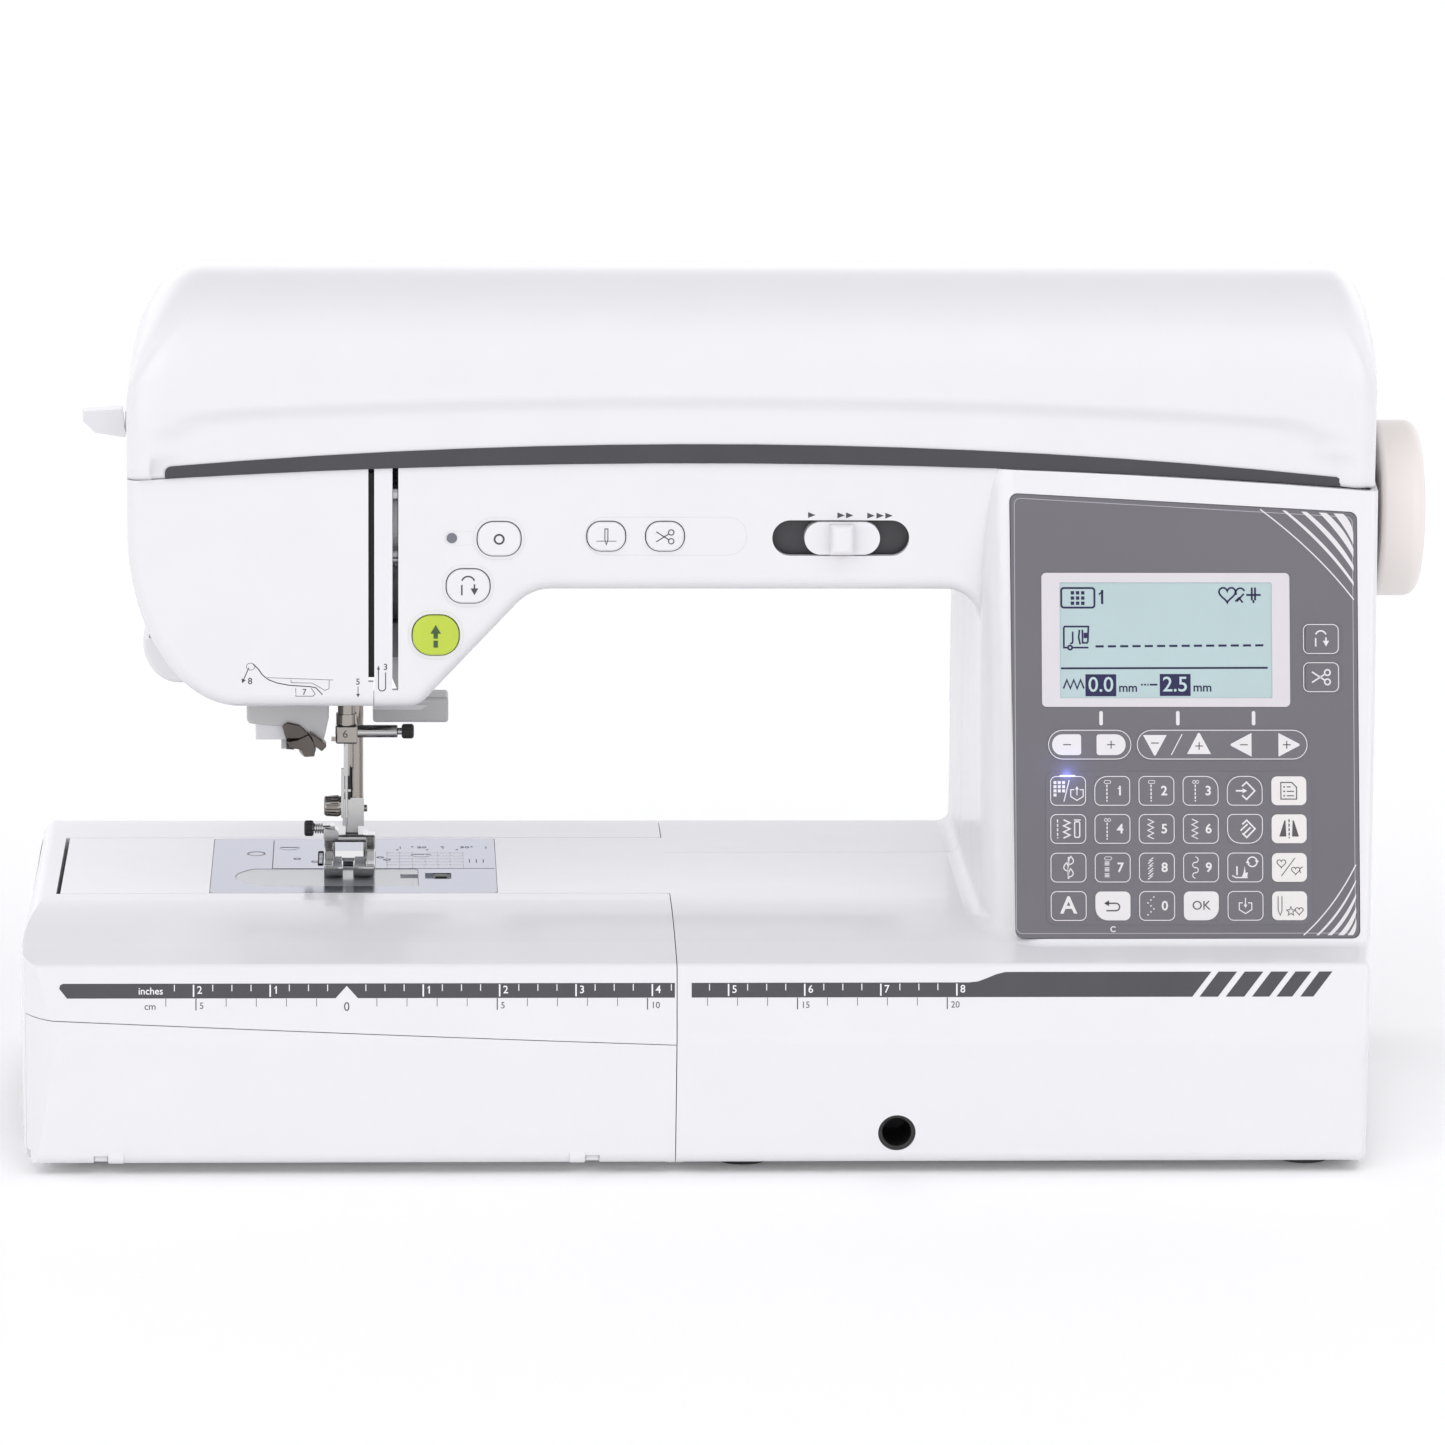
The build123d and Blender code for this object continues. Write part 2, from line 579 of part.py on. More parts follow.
def make_handwheel():
    wheel = rod("X", (SHAFT_Y, SHAFT_Z), WHEEL_R, RIGHT_X + 0.6, HALF_WIDTH)
    outer_rim = [e for e in wheel.edges() if e.center().X > HALF_WIDTH - 1]
    wheel = fillet(outer_rim, 5.0)
    inner_rim = [e for e in wheel.edges() if e.center().X < RIGHT_X + 1 and e.length > 100]
    wheel = fillet(inner_rim, 2.0)
    dish = rod("X", (SHAFT_Y, SHAFT_Z), 21.0, HALF_WIDTH - 1.5, HALF_WIDTH + 1)
    return wheel - dish - rod("X", (SHAFT_Y, SHAFT_Z), SHAFT_R, RIGHT_X, HALF_WIDTH - 5)


def make_handle():
    """Folding carrying handle: two arms and a grip, hanging down behind the machine."""
    x = HANDLE_HALF + 5
    low = HANDLE_Z - HANDLE_DROP
    grip = block(-x, x, HANDLE_Y - 7, BACK_Y, low, low + 18)
    handle = grip
    for side in (-1, 1):
        x0, x1 = sorted((side * (x - 12), side * x))
        arm = block(x0, x1, HANDLE_Y - 7, HANDLE_Y + 7, low + 5, HANDLE_Z)
        eye = rod("X", (HANDLE_Y, HANDLE_Z), 7.0, x0, x1)
        handle = handle + arm + eye
        handle = handle - rod("X", (HANDLE_Y, HANDLE_Z), 3.0 + RUN, x0 - 1, x1 + 1)
    corners = [e for e in handle.edges() if e.bounding_box().size.X > 100]
    return fillet(corners, 4.0)


# ---- drive ------------------------------------------------------------------------------------------
def make_main_shaft():
    """Upper shaft with crank disc and belt pulley."""
    shaft = rod("X", (SHAFT_Y, SHAFT_Z), SHAFT_R, -103, HALF_WIDTH - 5)
    crank = rod("X", (SHAFT_Y, SHAFT_Z), 17.0, -108, -102)
    pin = rod("X", (SHAFT_Y, SHAFT_Z + 12), 2.5, -110.5, -108)
    pulley = rod("X", (SHAFT_Y, SHAFT_Z), PULLEY_R, PULLEY_X0, PULLEY_X1)
    return shaft + crank + pin + pulley


def make_motor():
    body = rod("X", (MOTOR_Y, MOTOR_Z), 25.0, 104, 166)
    return body - rod("X", (MOTOR_Y, MOTOR_Z), LOWER_R + RUN, 130, 167)


def make_motor_pulley():
    pulley = rod("X", (MOTOR_Y, MOTOR_Z), MOTOR_PULLEY_R, PULLEY_X0, PULLEY_X1)
    return pulley + rod("X", (MOTOR_Y, MOTOR_Z), LOWER_R, 132, 190)


def make_drive_belt():
    """Toothed belt round motor pulley and main-shaft pulley, clear of both by a running gap."""
    inner = (PULLEY_R + 0.4, MOTOR_PULLEY_R + 0.4)

    def loop(r_top, r_low):
        span = sqrt((MOTOR_Z - SHAFT_Z) ** 2 + (MOTOR_Y - SHAFT_Y) ** 2)
        steer = atan2(MOTOR_Z - SHAFT_Z, MOTOR_Y - SHAFT_Y)
        open_angle = pi / 2 - (r_top - r_low) / span
        top = Pos(SHAFT_Y, SHAFT_Z) * Circle(r_top)
        low = Pos(MOTOR_Y, MOTOR_Z) * Circle(r_low)
        points = []
        for centre, r in (((SHAFT_Y, SHAFT_Z), r_top), ((MOTOR_Y, MOTOR_Z), r_low)):
            for sign in (1, -1):
                a = steer + sign * open_angle
                points.append((centre[0] + r * cos(a), centre[1] + r * sin(a)))
        p0, p1, p2, p3 = points
        return top + low + make_face(Polyline(p0, p2, p3, p1, close=True))

    ring = loop(inner[0] + 1.6, inner[1] + 1.6) - loop(*inner)
    return along_x(ring, PULLEY_X0 + 1.5, PULLEY_X1 - 1.5)


def make_main_frame():
    """Cast frame: arm beam with shaft bearings, column, foot, free-arm beam and hook bracket."""
    beam = block(-160, 172, 24, 62, 192, 214)
    column = block(104, 166, 42, 62, 12, 193)
    foot = block(SEAM_X + 4, 200, 28, 62, 10, 28)
    free_beam = block(-212, 100, 31, 39, 27, 44)
    frame = beam + column + foot + free_beam
    for x in (-84, 40, 150):
        bearing = block(x - 7, x + 7, -10, 25, 194, 216.5)
        frame += bearing
    frame = frame - rod("X", (SHAFT_Y, SHAFT_Z), SHAFT_R + RUN, -100, 170)
    for x in (-90, 60):
        frame += block(x - 5, x + 5, -8, 32, 28, 44)
    frame = frame - rod("X", (0, LOWER_Z), LOWER_R + RUN, -120, 80)
    # guides of needle bar and presser bar
    for z0 in (158, 206):
        frame += block(-136, -118.4, -7, 15, z0, z0 + 8)
        frame += block(-160, -118.4, 14.5, 26, z0, z0 + 8)
    frame += block(-160, -118.4, 18, 26, 158, 214)
    frame += block(-160, -136, 10, 18, 158, 166)
    frame = frame - rod("Z", (NEEDLE_X, NEEDLE_Y), BAR_R + RUN, 150, 220)
    frame = frame - rod("Z", (PRESSER_X, PRESSER_Y), BAR_R + RUN, 150, 220)
    # hook bracket
    bracket = block(-152, -143, -27, 32, 41.5, 44.5) + block(-144, -116, -27, -10.5, 41.5, 44.5)
    bracket = bracket - rod("Z", (NEEDLE_X, HOOK_Y), BAR_R + RUN, 40, 46)
    # studs of take-up lever and presser lever
    frame += block(-118.4, -114, 0, 18, 186, 194) + rod("X", (4, 190), 2.0, -114, -108.8)
    frame += block(-160, -110, 18, 26, 150, 162) + rod("Y", (-116, 156), 2.0, 26, 36)
    return frame + bracket


def make_lower_shaft():
    shaft = rod("X", (0, LOWER_Z), LOWER_R, -136, 90)
    gear = rod("X", (0, LOWER_Z), LOWER_GEAR_R, NEEDLE_X - 4.5, NEEDLE_X + 4.5)
    pulley = rod("X", (0, LOWER_Z), 12.0, 76, 86)
    return shaft + gear + pulley


def make_hook():
    """Rotary hook on its vertical shaft, with the small driven gear."""
    shaft = rod("Z", (NEEDLE_X, HOOK_Y), BAR_R, 30, 48)
    gear = rod("Z", (NEEDLE_X, HOOK_Y), HOOK_GEAR_R, LOWER_Z - 4.5, LOWER_Z + 4.5)
    cup = rod("Z", (NEEDLE_X, HOOK_Y), HOOK_R, 47.6, 67) - rod("Z", (NEEDLE_X, HOOK_Y), 13.6, 50.4, 68)
    return shaft + gear + cup


def make_bobbin_case():
    case = rod("Z", (NEEDLE_X, HOOK_Y), 13.2, 50.8, 67)
    axis = (NEEDLE_X, HOOK_Y)
    return case - rod("Z", axis, 11.2, 52.4, 68) + rod("Z", axis, 2.4, 52.4, 65.4)


def make_bobbin():
    spool = rod("Z", (NEEDLE_X, HOOK_Y), 10.4, 52.9, 63.9)
    axis = (NEEDLE_X, HOOK_Y)
    spool = spool - (rod("Z", axis, 11, 53.9, 62.9) - rod("Z", axis, 4.6, 53, 63))
    return spool - rod("Z", (NEEDLE_X, HOOK_Y), 2.4 + RUN, 52, 65)


# ---- needle, presser and feed -----------------------------------------------------------------------
def make_needle_bar():
    bar = rod("Z", (NEEDLE_X, NEEDLE_Y), BAR_R, 133, 226)
    clamp = soft_block(NEEDLE_X - 3.8, NEEDLE_X + 3.9, -3.9, 3.9, 123.8, 130.4, 0.9)
    clamp += rod("Z", (NEEDLE_X, NEEDLE_Y), 3.6, 129, 134)
    guide = block(NEEDLE_X - 5.2, NEEDLE_X - 3, -0.8, 0.8, 124.2, 125.6)
    return bar + clamp + guide - rod("Z", (NEEDLE_X, NEEDLE_Y), 1.05, 120, 132)


def make_clamp_screw():
    tube = rod("X", (NEEDLE_Y, 127.4), 2.15, NEEDLE_X + 3.9, -111)
    neck = rod("X", (NEEDLE_Y, 127.4), 1.3, -111, -109.6)
    knob = rod("X", (NEEDLE_Y, 127.4), 2.3, -109.6, -105.2)
    return tube + neck + fillet(knob.edges(), 0.5)


def make_needle():
    shank = rod("Z", (NEEDLE_X, NEEDLE_Y), 1.0, 112, 131.5)
    blade = rod("Z", (NEEDLE_X, NEEDLE_Y), 0.45, 97, 112)
    point = Pos(NEEDLE_X, NEEDLE_Y, 94.5) * Cone(0.12, 0.45, 5)
    return shank + blade + point


def make_presser_bar():
    bar = rod("Z", (PRESSER_X, PRESSER_Y), BAR_R, 103, 228)
    block_on_bar = block(PRESSER_X - 1, -113, PRESSER_Y - 3, PRESSER_Y + 3, 168, 178)
    return bar + block_on_bar


def make_foot_holder():
    """Shank holder on the presser bar, with its screw on the left."""
    holder = block(PRESSER_X - 4.2, PRESSER_X + 3.2, PRESSER_Y - 4.0, PRESSER_Y + 4, 93, 103)
    screw = rod("X", (PRESSER_Y, 99.5), 3.4, PRESSER_X - 10.2, PRESSER_X - 4.2)
    shank = block(PRESSER_X - 3.2, PRESSER_X + 1.2, PRESSER_Y - 3, PRESSER_Y + 3, 89.2, 93)
    return holder + screw + shank


def make_presser_foot():
    """Zigzag foot: sole with needle slot, two toes turned up, cross pin and black pin knob."""
    x0, x1 = NEEDLE_X - 7.6, NEEDLE_X + 9.4
    sole = block(x0, x1, -17, 13, 80.35, 82.2)
    toe = Pos((x0 + x1) / 2, -17, 82.2 + 6) * Rot(0, 90, 0) * Cylinder(7.85, x1 - x0)
    toe = toe - Pos((x0 + x1) / 2, -17, 82.2 + 6) * Rot(0, 90, 0) * Cylinder(6.0, x1 - x0 + 1)
    toe = toe & block(x0, x1, -26, -17, 80.3, 84.5)
    foot = sole + toe - block(NEEDLE_X - 3.4, NEEDLE_X + 3.4, -2.0, 2.6, 80, 83)
    foot = foot - block(NEEDLE_X - 1.2, NEEDLE_X + 2.4, -27, -1.9, 80, 90)
    for x in (x0 + 2, x1 - 3.6):
        foot += block(x, x + 1.6, 4, 12, 82, 90)
    foot += rod("X", (PRESSER_Y, 88.0), 1.2, x0 + 2, x1 - 2)
    pin = rod("X", (3.4, 92.5), 1.0, x0 - 4, x0 + 3.6) + rod("X", (3.4, 92.5), 2.4, x0 - 6.8, x0 - 4)
    pin += block(x0 + 2, x0 + 3.6, 2.4, 8, 87, 93.5)
    return foot + pin


def make_presser_lever():
    """Lifting lever behind the bars, its handle pointing right under the head."""
    boss = rod("Y", (-116, 156), 5.0, 29, 35)
    arm = Pos(-111, 32, 144) * Rot(0, -22, 0) * Box(6, 6, 26)
    grip = soft_block(-119.6, -93.2, 28.5, 43, 124.5, 133.5, 1.2)
    lever = boss + arm + grip
    return lever - rod("Y", (-116, 156), 2.0 + RUN, 20, 40)


def make_take_up_lever():
    """Thread take-up lever behind the right thread slot."""
    x0, x1 = -112.6, -111.0
    boss = rod("X", (4, 190), 5.0, x0, x1)
    tip_y, tip_z = 4 - 39.0, 190 + 28.0
    length = sqrt(39.0**2 + 28.0**2)
    tilt = degrees(atan2(28.0, -39.0))
    arm = Pos((x0 + x1) / 2, (4 + tip_y) / 2, (190 + tip_z) / 2) * Rot(tilt, 0, 0) * Box(x1 - x0, length, 5)
    eye = rod("X", (tip_y, tip_z), 3.6, x0, x1) - rod("X", (tip_y, tip_z), 1.4, x0 - 1, x1 + 1)
    lever = boss + arm + eye - rod("X", (tip_y, tip_z), 1.4, x0 - 1, x1 + 1)
    return lever - rod("X", (4, 190), 2.0 + RUN, x0 - 1, x1 + 1)


def make_needle_plate():
    plate = block(PLATE_X0, PLATE_X1, -PLATE_Y, PLATE_Y, BED_Z - PLATE_T, BED_Z)
    plate = fillet(plate.edges().filter_by(Axis.Z), 1.5)
    window = bobbin_window(0.15)
    plate = plate - along_z(window, BED_Z - 3, BED_Z + 1)
    plate = plate - block(-101.5, -92.5, -20.5, -11.5, BED_Z - 1.0, BED_Z + 1)
    plate = plate - along_z(Pos(NEEDLE_X, NEEDLE_Y) * SlotOverall(9.0, 2.2), BED_Z - 3, BED_Z + 1)
    for dx in FEED_ROWS:
        plate = plate - along_z(Pos(NEEDLE_X + dx, 11) * SlotOverall(23, 2.0, 90), BED_Z - 3, BED_Z + 1)
    for x, y in PLATE_SCREWS:
        plate = plate - rod("Z", (x, y), 3.6, BED_Z - 1.0, BED_Z + 1)
    return plate


def bobbin_window(grow):
    """Outline of the clear bobbin cover: round on the left, straight on the right."""
    x0, x1, y0, y1 = -166 - grow, -104 + grow, -31 - grow, -5 + grow
    with BuildSketch() as sk:
        with BuildLine():
            FilletPolyline((x1, y0), (x1, y1), (x0 + 6, y1), radius=2.0)
            ThreePointArc((x0 + 6, y1), (x0, (y0 + y1) / 2 - 3), (x0 + 12, y0))
            Line((x0 + 12, y0), (x1, y0))
        make_face()
    return sk.sketch


def make_bobbin_cover():
    cover = along_z(bobbin_window(0.0), BED_Z - PLATE_T, BED_Z - 0.1)
    return cover - block(-110, -103, -19, -13, BED_Z - 0.8, BED_Z)


def make_bobbin_latch():
    """Sliding latch that frees the bobbin cover."""
    slide = block(-98.7, -93.0, -19.6, -12.4, BED_Z - 1.0, BED_Z - 0.2)
    return slide + block(-98, -94, -18, -14, BED_Z - 0.5, BED_Z + 0.3)


def make_plate_screws():
    screws = Part()
    for x, y in PLATE_SCREWS:
        head = rod("Z", (x, y), 3.5, BED_Z - 1.0, BED_Z + 0.1)
        screws += head - block(x - 4, x + 4, y - 0.5, y + 0.5, BED_Z - 0.6, BED_Z + 1)
    return screws


def make_feed_dog():
    dog = block(NEEDLE_X - 11, NEEDLE_X + 11, 4, 21, 70, 74)
    for dx in FEED_ROWS:
        x = NEEDLE_X + dx
        bar = block(x - 0.6, x + 0.6, 4, 20, 73, BED_Z - 0.1)
        for i in range(8):
            bar = bar - block(x - 1, x + 1, 5 + 2 * i, 5.8 + 2 * i, BED_Z - 0.7, BED_Z)
        dog += bar
    return dog


# ---- threader and cutter ----------------------------------------------------------------------------
def make_threader_lever():
    """Outside lever on the head's left, with its stem and inner slider."""
    stem = block(-204, -188, -1.4, 1.4, 232.5, 239.5)
    with BuildSketch() as sk:
        with BuildLine():
            Polyline((-218.3, 240.0), (-205, 240.8), (-203.8, 232.0), (-203.8, 231.0), (-214, 232.6),
                     (-218.3, 236.5), close=True)
        make_face()
    grip = along_y(sk.sketch, -4, 4)
    slider = block(-190, -186, -3, 3, 226, 241)
    return stem + grip + slider


def make_threader_unit():
    """Threader carriage: rod, shroud under the head and the turning hook arm."""
    guide = rod("Z", (-147, 3), 2.4, 134, 196)
    with BuildSketch() as sk:
        with BuildLine():
            FilletPolyline(
                (-134.6, 145.0),
                (-162.8, 145.0),
                (-162.8, 132.2),
                (-146.0, 130.6),
                (-136.8, 124.2),
                (-134.6, 134.0),
                (-134.6, 145.0),
                radius=(0.5, 1.0, 2.0, 5.0, 1.2, 2.0),
            )
        make_face()
    shroud = along_y(sk.sketch, -9, 5)
    front_rim = edges_inside(shroud, y=(-9.1, -8.9))
    shroud = fillet(front_rim, 0.8)
    carrier = soft_block(-159.6, -149.4, -6, 2, 126.3, 134, 0.8)
    hook = block(-151, -140, -5, 2, 122.5, 132) + rod("Y", (-142.0, 122.6), 3.0, -5, 1)
    return guide + shroud + carrier + hook


def make_side_cutter():
    """Thread cutter on the head's left: guarded blade slot."""
    with BuildSketch() as sk:
        with BuildLine():
            Spline((-197.9, 163.2), (-197.6, 158.5), (-193.6, 151.2), (-182.0, 148.4))
            Polyline((-182.0, 148.4), (-178.0, 163.2), (-197.9, 163.2))
        make_face()
    lobe = along_y(sk.sketch, -16, 4)
    lobe = fillet(edges_inside(lobe, x=(-199, -181.5), y=(-17, -15)), 1.5)
    blade_gap = Pos(-194.2, -9, 161.5) * Rot(0, -28, 0) * Box(1.6, 10, 7.0)
    return lobe - blade_gap - outer_head()


def outer_head():
    """Filled head form, used to fit pieces against its outside."""
    return arm_form() & block(-260, -150, -60, 95, 140, 239)


# ---- pieces under the lid and on the back -----------------------------------------------------------
def make_top_deck():
    """Deck under the lid, raised over the drive pulley."""
    y0, y1 = ARM_FRONT_Y + 4, LID_BACK_Y - 30
    deck = block(-98, 165, y0, y1, 218, 220.5)
    deck += block(165, 168, y0, y1, 218, 238) + block(165, 212, y0, y1, 236, 238.5)
    deck += block(209.5, 212, y0, y1, 218, 238)
    return deck - rod("Z", (130, 0), BAR_R + RUN, 210, 225)


def make_spool_pin():
    post = block(80, 90, 12, 28, 220.5, 250)
    return post + rod("X", (20, 242), 3.0, 20, 81)


def make_spool_cap():
    cap = rod("X", (20, 242), 14.0, 30, 34) + rod("X", (20, 242), 7.0, 34, 40)
    return cap - rod("X", (20, 242), 3.0 + RUN, 20, 50)


def make_winder_shaft():
    shaft = rod("Z", (130, 0), BAR_R, 214, 250)
    return shaft + rod("Z", (130, 0), 9.0, 221.2, 224)


def make_knee_socket():
    tube = rod("Y", (KNEE_X, KNEE_Z), 6.3, -112.6, -88)
    return tube - rod("Y", (KNEE_X, KNEE_Z), KNEE_BORE_R, -115, -90)


def make_mains_inlet():
    """Two-pin inlet for the mains lead."""
    body = block(206, 223, 40.3, 69.7, 20.3, 41.7)
    body = body - block(210, 224, 43.3, 66.7, 23.3, 38.7)
    for y in (50, 60):
        body += rod("X", (y, 31), 1.2, 209, 220)
    return body


def make_mains_switch():
    """Mains rocker switch."""
    return block(219.0, 225.2, 34, 44, 48, 62) + rod("Y", (SWITCH_X, 55), 1.5, 31.5, 46.5)


def switch_bearings():
    """Bearings of the mains rocker, moulded inside the rear cover."""
    bearings = block(213, 222.5, 30.0, 33.0, 51, 59) + block(213, 222.5, 45.0, 48.0, 51, 59)
    return bearings - rod("Y", (SWITCH_X, 55), 1.5 + RUN, 28, 50)


def make_foot_jack():
    tube = rod("X", (60, 54), 5.0, 208, 224)
    return tube - rod("X", (60, 54), 2.2, 212, 226)


def make_feed_switch():
    """Feed-dog drop switch on the back of the base."""
    return block(8, 18, BED_BACK_Y - 5, BED_BACK_Y + 1.8, 42, 50)


# ---- accessory table --------------------------------------------------------------------------------


def table_plan(t=0.0):
    """Table's plan: bowed left side with round corners."""
    left = -HALF_WIDTH + t
    with BuildSketch() as sk:
        with BuildLine():
            Line((TABLE_X1 - t, -130), (TABLE_X1 - t, 90))
            Line((TABLE_X1 - t, 90), (left + 14, 90))
            Line((left + 14, 90), (left + 12, BED_BACK_Y - t))
            ThreePointArc((left + 12, BED_BACK_Y - t), (left + 4.5, 68 - t), (left + 2, 58))
            ThreePointArc((left + 2, 58), (left, 0), (left + 4.2, -98))
            ThreePointArc((left + 4.2, -98), (left + 7.5, -111), (left + 19, FRONT_Y + t))
            Line((left + 19, FRONT_Y + t), (left + 19, -130))
            Line((left + 19, -130), (TABLE_X1 - t, -130))
        make_face()
    return along_z(sk.sketch, -10, 100)


def table_front_view():
    """Front outline of the table: rounded lower left corner, left side leaning in at the top."""
    left = -HALF_WIDTH - 0.5
    with BuildSketch() as sk:
        with BuildLine():
            FilletPolyline(
                (TABLE_X1, BED_Z), (left + 5, BED_Z), (left, 50), (left, BASE_Z), (TABLE_X1, BASE_Z),
                radius=(5.0, 30.0, CORNER_R),
            )
            Line((TABLE_X1, BASE_Z), (TABLE_X1, BED_Z))
        make_face()
    return along_y(sk.sketch, -130, 100)


def table_form(t=0.0):
    form = base_form(-HALF_WIDTH - 5, TABLE_X1 - t, t) & table_plan(t)
    return form if t > 0 else form & table_front_view()


def pocket(grow=0.0):
    """Room for the free arm, open at top, bottom and right."""
    side = 0.4 + grow
    return block(ARM_TIP_X - 1.4 - grow, SEAM_X + 5, FREE_Y0 - side, FREE_Y1 + side, -20, 100)


def door_region(shift=0.0):
    return below_curve(DOOR_SEAM, shift, -5, -130, -106.5 + shift)


def make_table_cover():
    outer = table_form()
    inner = table_form(WALL) & block(-260, 0, -130, 100, BASE_Z + WALL, 100)
    shell = outer - (inner - pocket(WALL)) - pocket()
    door_space = below_curve(DOOR_SEAM, GAP / 2, -5, -130, -106.2)
    shell = shell - door_space
    for x0, x1, pin0, pin1 in ((-212, -208, -208, -203), (-48, -44, -53, -48)):
        lug = block(x0, x1, DOOR_AXIS_Y - 1.2, -104.5, BASE_Z + 1.8, DOOR_AXIS_Z + 2)
        shell = shell + lug + rod("X", (DOOR_AXIS_Y, DOOR_AXIS_Z), 1.2, pin0, pin1)
    return shell


def make_table_door():
    """Front door of the accessory compartment, hinged at its lower edge."""
    wall = table_form() - (table_form(WALL) & block(-260, 0, -130, 100, -20, 100))
    door = wall & door_region(-GAP / 2)
    door = door - block(-260, 0, -130, -100, -1, BASE_Z + 0.3) - block(-260, 0, -109.6, -100, -1, 8)
    for x0, x1 in ((-212.4, -207.6), (-48.4, -43.6)):
        door = door - block(x0, x1, -112.9, -100, 0, DOOR_AXIS_Z + 4)
    for x0, x1 in ((-207.5, -202.5), (-53.5, -48.5)):
        barrel = rod("X", (DOOR_AXIS_Y, DOOR_AXIS_Z), 3.0, x0, x1)
        door = door + barrel
        door = door - rod("X", (DOOR_AXIS_Y, DOOR_AXIS_Z), 1.2 + RUN, x0 - 1, x1 + 1)
    return door


def make_table_feet():
    feet = Part()
    for x, y in ((-215, -90), (-40, -90), (-120, -90), (-120, 60)):
        feet += rod("Z", (x, y), 6.0, 0, BASE_Z)
    return feet


# ---- output -----------------------------------------------------------------------------------------
def build_all():
    """Every node by name."""
    shell, crown = make_shells()
    nodes = {
        "front_cover": make_front_cover(shell),
        "thread_channel_cover": make_channel_cover(shell),
        "face_cover": make_face_cover(shell),
        "rear_cover": make_rear_cover(shell, crown),
        "top_cover": make_top_cover(crown),
        "trim_strip": trim_form(0.6),
        "free_arm_cover": make_free_arm_cover(),
        "bottom_plate": make_bottom_plate(),
        "rubber_feet": make_rubber_feet(),
        "panel_frame": make_panel_frame(),
        "display_bezel": make_display_bezel(),
        "display_glass": make_display_glass(),
        "key_pads": make_key_pads(),
        "status_lamp": make_status_lamp(),
        "speed_slider": make_speed_slider(),
        "slider_track": make_slider_track(),
        "handwheel": make_handwheel(),
        "carrying_handle": make_handle(),
        "main_shaft": make_main_shaft(),
        "motor": make_motor(),
        "motor_pulley": make_motor_pulley(),
        "drive_belt": make_drive_belt(),
        "main_frame": make_main_frame(),
        "lower_shaft": make_lower_shaft(),
        "rotary_hook": make_hook(),
        "bobbin_case": make_bobbin_case(),
        "bobbin": make_bobbin(),
        "needle_bar": make_needle_bar(),
        "clamp_screw": make_clamp_screw(),
        "needle": make_needle(),
        "presser_bar": make_presser_bar(),
        "foot_holder": make_foot_holder(),
        "presser_foot": make_presser_foot(),
        "presser_lever": make_presser_lever(),
        "take_up_lever": make_take_up_lever(),
        "needle_plate": make_needle_plate(),
        "bobbin_cover": make_bobbin_cover(),
        "bobbin_latch": make_bobbin_latch(),
        "plate_screws": make_plate_screws(),
        "feed_dog": make_feed_dog(),
        "threader_lever": make_threader_lever(),
        "threader_unit": make_threader_unit(),
        "side_cutter": make_side_cutter(),
        "top_deck": make_top_deck(),
        "spool_pin": make_spool_pin(),
        "spool_cap": make_spool_cap(),
        "winder_shaft": make_winder_shaft(),
        "knee_socket": make_knee_socket(),
        "mains_inlet": make_mains_inlet(),
        "mains_switch": make_mains_switch(),
        "foot_jack": make_foot_jack(),
        "feed_switch": make_feed_switch(),
        "table_cover": make_table_cover(),
        "table_door": make_table_door(),
        "table_feet": make_table_feet(),
    }
    for name, x, z, width, height in BUTTONS:
        nodes[name] = make_button(x, z, width, height)
    return nodes


def main():
    os.makedirs("parts", exist_ok=True)
    for name, shape in build_all().items():
        export_step(shape, f"parts/{name}.step")


if __name__ == "__main__":
    main()
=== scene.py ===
from math import atan2, cos, hypot, pi, radians, sin, sqrt

import bmesh
import bpy
from mathutils import Matrix, Vector
from mathutils.bvhtree import BVHTree
from mathutils.geometry import tessellate_polygon


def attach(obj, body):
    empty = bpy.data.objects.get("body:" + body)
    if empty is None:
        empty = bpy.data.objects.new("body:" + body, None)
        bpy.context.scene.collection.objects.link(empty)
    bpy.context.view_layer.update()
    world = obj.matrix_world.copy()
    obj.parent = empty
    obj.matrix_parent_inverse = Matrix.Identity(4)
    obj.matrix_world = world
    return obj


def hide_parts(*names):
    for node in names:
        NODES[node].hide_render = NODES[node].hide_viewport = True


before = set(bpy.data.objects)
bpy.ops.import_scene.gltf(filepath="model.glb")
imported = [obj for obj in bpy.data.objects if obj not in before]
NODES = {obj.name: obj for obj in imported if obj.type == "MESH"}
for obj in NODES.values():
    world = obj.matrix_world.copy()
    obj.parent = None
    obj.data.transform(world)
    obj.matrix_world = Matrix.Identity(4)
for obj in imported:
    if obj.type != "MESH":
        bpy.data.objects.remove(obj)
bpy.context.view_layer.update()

MM = 0.001


# ---- camera, floor, light ---------------------------------------------------------------------------
CAMERA_AT = (-0.115, -2.5921, 0.6816)
CAMERA_TURN = radians(-2.569)
CAMERA_FALL = radians(11.988)
CAMERA_ROLL = radians(0.527)
CAMERA_LENS = 191.09
WORLD_LEVEL = 1.13


def make_camera():
    data = bpy.data.cameras.new("camera")
    data.lens = CAMERA_LENS
    data.sensor_width = 36.0
    data.clip_end = 60.0
    camera = bpy.data.objects.new("camera", data)
    back = Vector((
        sin(CAMERA_TURN) * cos(CAMERA_FALL),
        -cos(CAMERA_TURN) * cos(CAMERA_FALL),
        sin(CAMERA_FALL),
    ))
    camera.rotation_mode = "QUATERNION"
    level = (-back).to_track_quat("-Z", "Y").to_matrix().to_4x4()
    camera.rotation_quaternion = (level @ Matrix.Rotation(CAMERA_ROLL, 4, "Z")).to_quaternion()
    camera.location = CAMERA_AT
    bpy.context.scene.collection.objects.link(camera)
    bpy.context.scene.camera = camera


